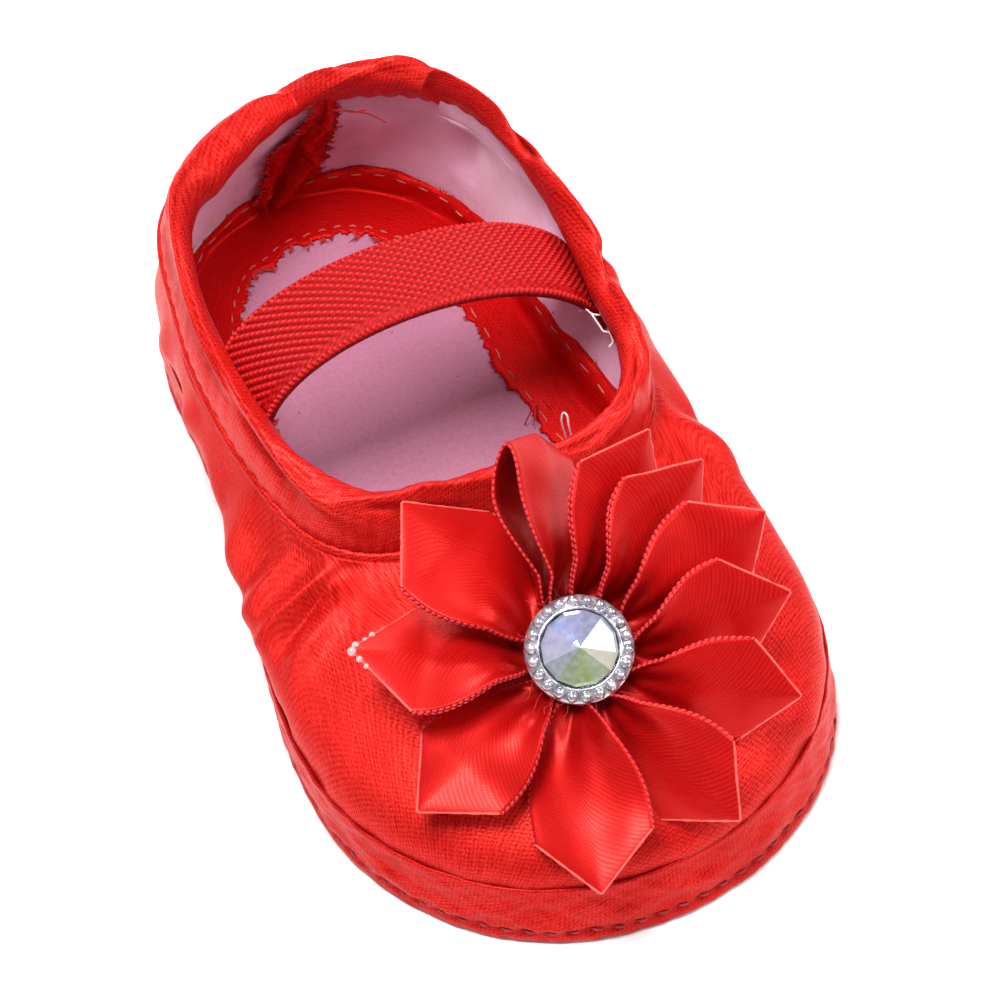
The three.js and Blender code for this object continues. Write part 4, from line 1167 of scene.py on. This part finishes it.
silver, tree, shader = finish("silvered_plastic")
mottle = noise(tree, on_object(tree), 900, 3)
colour = blend(tree, spread(tree, mottle, 0.35, 0.65),
               (0.30, 0.28, 0.34, 1), (0.78, 0.76, 0.82, 1))
dress(tree, shader, Base_Color=colour, Metallic=0.75, Coat_Weight=0.8, Coat_Roughness=0.05,
      Roughness=spread(tree, mottle, 0.3, 0.7, 0.12, 0.30))
settle(tree, shader, mottle, 0.2, 0.00005)
z = SETTING_RISE
cup = [(0, z), (5.9, z), (6.3, z + 0.3), (6.45, z + 0.8), (6.3, z + 1.2), (5.6, z + 1.35),
       (5.0, z + 1.7), (4.75, z + 1.9), (4.62, z + 1.7), (4.6, z + 1.1), (0, z + 1.1)]
piece("setting_cup", [lathe(cup, 48)], silver, "silver_plastic", ["stone_setting"], merge=True)
beads = []
bead, cloth = ball(10, 7)
for k in range(BEAD_COUNT):
    angle = (k + 0.5) / BEAD_COUNT * TURN
    centre = np.array([np.cos(angle), np.sin(angle), 0]) * BEAD_RING + [0, 0, z + 1.55]
    beads.append(grid(on_shoe(bead * BEAD_RADIUS * [1, 1, 0.9] + centre), cloth, close_rows=True))
piece("setting_beads", beads, silver, "silver_plastic", merge=True)

# Stone: a low pointed plastic stone cut in twelve facets, with a shifting lilac, blue and
# green tint on its foil back.
FACETS, STONE_RADIUS = 12, 4.5
z = SETTING_RISE + SETTING_HEIGHT / 2 + CLEARANCE
stone_plastic, tree, shader = finish("stone_plastic")
streaks = noise(tree, on_object(tree), 1400, 2)
colour = blend(tree, spread(tree, streaks, 0.35, 0.7, 0, 0.2), mark(tree, "tint", "Color"),
               (0.9, 0.92, 1.0, 1))
dress(tree, shader, Base_Color=colour, Metallic=0.55, Roughness=0.12, Coat_Weight=1.0,
      Coat_Roughness=0.02)
profile = [(0, z), (STONE_RADIUS, z), (STONE_RADIUS, z + 0.8), (4.15, z + 1.05), (0.9, z + 2.15),
           (0, z + 2.4)]
stone = piece("stone_facets", [lathe(profile, FACETS)], stone_plastic, "stone", ["stone"],
              merge=True, flat=True)
TINTS = np.array([[0.42, 0.52, 0.62], [0.40, 0.45, 0.72], [0.45, 0.45, 0.80], [0.36, 0.40, 0.74],
                  [0.58, 0.55, 0.86], [0.72, 0.70, 0.92], [0.46, 0.50, 0.60], [0.40, 0.50, 0.28],
                  [0.42, 0.56, 0.20], [0.50, 0.58, 0.36], [0.95, 0.90, 0.72], [0.78, 0.84, 0.95]])
middles = np.zeros(len(stone.data.polygons) * 3, np.float32)
stone.data.polygons.foreach_get("center", middles)
aside = (middles.reshape(-1, 3) * 1000 - MOVED - FLOWER_MIDDLE) @ FLOWER_POSE
facing = np.mod(np.arctan2(aside[:, 1], aside[:, 0]) / TURN, 1.0) * FACETS
colours = np.ones((len(facing), 4), np.float32)
colours[:, :3] = 0.72 * TINTS[np.floor(facing).astype(int) % FACETS]
layer = stone.data.attributes.new("tint", "FLOAT_COLOR", "FACE")
layer.data.foreach_set("color", colours.ravel())

# Loose threads: ends of the pale seam thread at the strap and in the opening, red threads
# hanging from the cut edges, wisps at the setting and drops of clear glue at one loop's tip.
CASING_ENDS = [
    [(21.0, 9.3, 23.6), (21.8, 8.9, 24), (21.9, 7.6, 24.4), (22.7, 7.0, 24.4), (23.8, 7.5, 24)],
    [(21.9, 7.5, 24.4), (22.1, 5.8, 24), (22.1, 4.8, 24), (22.7, 4.3, 24.2), (22.5, 2.8, 24),
     (21.6, 2.6, 23.6)],
    [(16.1, 2.6, 5), (15.4, 2.8, 9), (15.1, 3.3, 12), (15.6, 3.7, 13), (15.9, 2.9, 13),
     (15.6, 2.2, 12), (15.8, 1.8, 10), (16.2, 1.5, 6)]]
RED_ENDS = [
    [(12.9, 9.7, 4.6), (14.0, 9.7, 7), (15.3, 9.3, 9), (16.2, 8.6, 7)],
    [(15.6, 11.8, 4.8), (14.4, 9.5, 6.2), (13.6, 8.7, 5)],
    [(-18.9, 14.1, 22), (-18.0, 16.6, 16), (-17.2, 18.9, 10), (-16.8, 19.3, 4.6)],
    [(-19.6, 14.6, 20), (-18.3, 17.6, 13), (-17.0, 18.0, 8), (-17.6, 19.9, 4.6)],
    [(6.0, 50.5, 26.5), (8.5, 50.0, 25.8), (11.0, 48.2, 25.6), (12.6, 46.6, 24.6)],
    [(5.6, 50.4, 27.0), (7.0, 49.2, 27.6), (8.9, 48.6, 26.6), (10.6, 47.9, 27.0)]]


def laid(places, count=24):
    """A smooth path through a few places: each run between them is rounded off."""
    places = np.asarray(places, float)
    path = path_at(np.linspace(0, len(places) - 1, count * 4), np.arange(len(places)), places)
    for _ in range(30):
        path[1:-1] = (path[:-2] + 2 * path[1:-1] + path[2:]) / 4
    return path[::4]


white_thread = thread_finish("white_thread", (0.80, 0.70, 0.68, 1), 0.5)
loose_red = thread_finish("loose_red", (0.45, 0.004, 0.006, 1), 0.5)
for name, ends, radius, thread in (("pale_thread_ends", CASING_ENDS, 0.13, white_thread),
                                   ("red_thread_ends", RED_ENDS, 0.10, loose_red)):
    piece(name, [strands(laid(p)[None], radius, 6) for p in ends], thread, "satin")
draw = np.random.default_rng(91)
wisps = []
for k in range(16):
    angle = draw.uniform(0, TURN)
    start = np.array([np.cos(angle), np.sin(angle), 0]) * 6.3 + [0, 0, SETTING_RISE + 0.2]
    way = np.array([np.cos(angle + draw.normal(0, 0.9)), np.sin(angle + draw.normal(0, 0.9)),
                    draw.uniform(0.0, 0.5)])
    bend = draw.normal(0, 1.0, 3) * [1, 1, 0.3]
    wisps.append(laid(on_shoe(start + np.outer([0, 0.35, 0.7, 1.0], way * draw.uniform(1.5, 3.6))
                              + np.outer([0, 0.3, 0.2, 0.7], bend)), 12))
piece("wisps", [strands(np.stack(wisps), 0.05, 4)], loose_red, "ribbon_satin")
clear_glue, tree, shader = finish("clear_glue")
dress(tree, shader, Base_Color=(0.95, 0.80, 0.80, 1), Roughness=0.12, Transmission_Weight=0.6,
      Coat_Weight=1.0)
GLUED_LOOP = 5
drops = []
drop, cloth = ball(8, 6)
for a, size in ((-0.30, 0.42), (-0.20, 0.30), (-0.08, 0.50), (0.04, 0.60), (0.16, 0.42),
                (0.27, 0.34)):
    spot = loop_face(GLUED_LOOP, np.zeros(1), np.full(1, a), 0.15)
    drops.append(grid(drop * size + spot[0], cloth, close_rows=True))
piece("glue_drops", drops, clear_glue, "stone", merge=True)
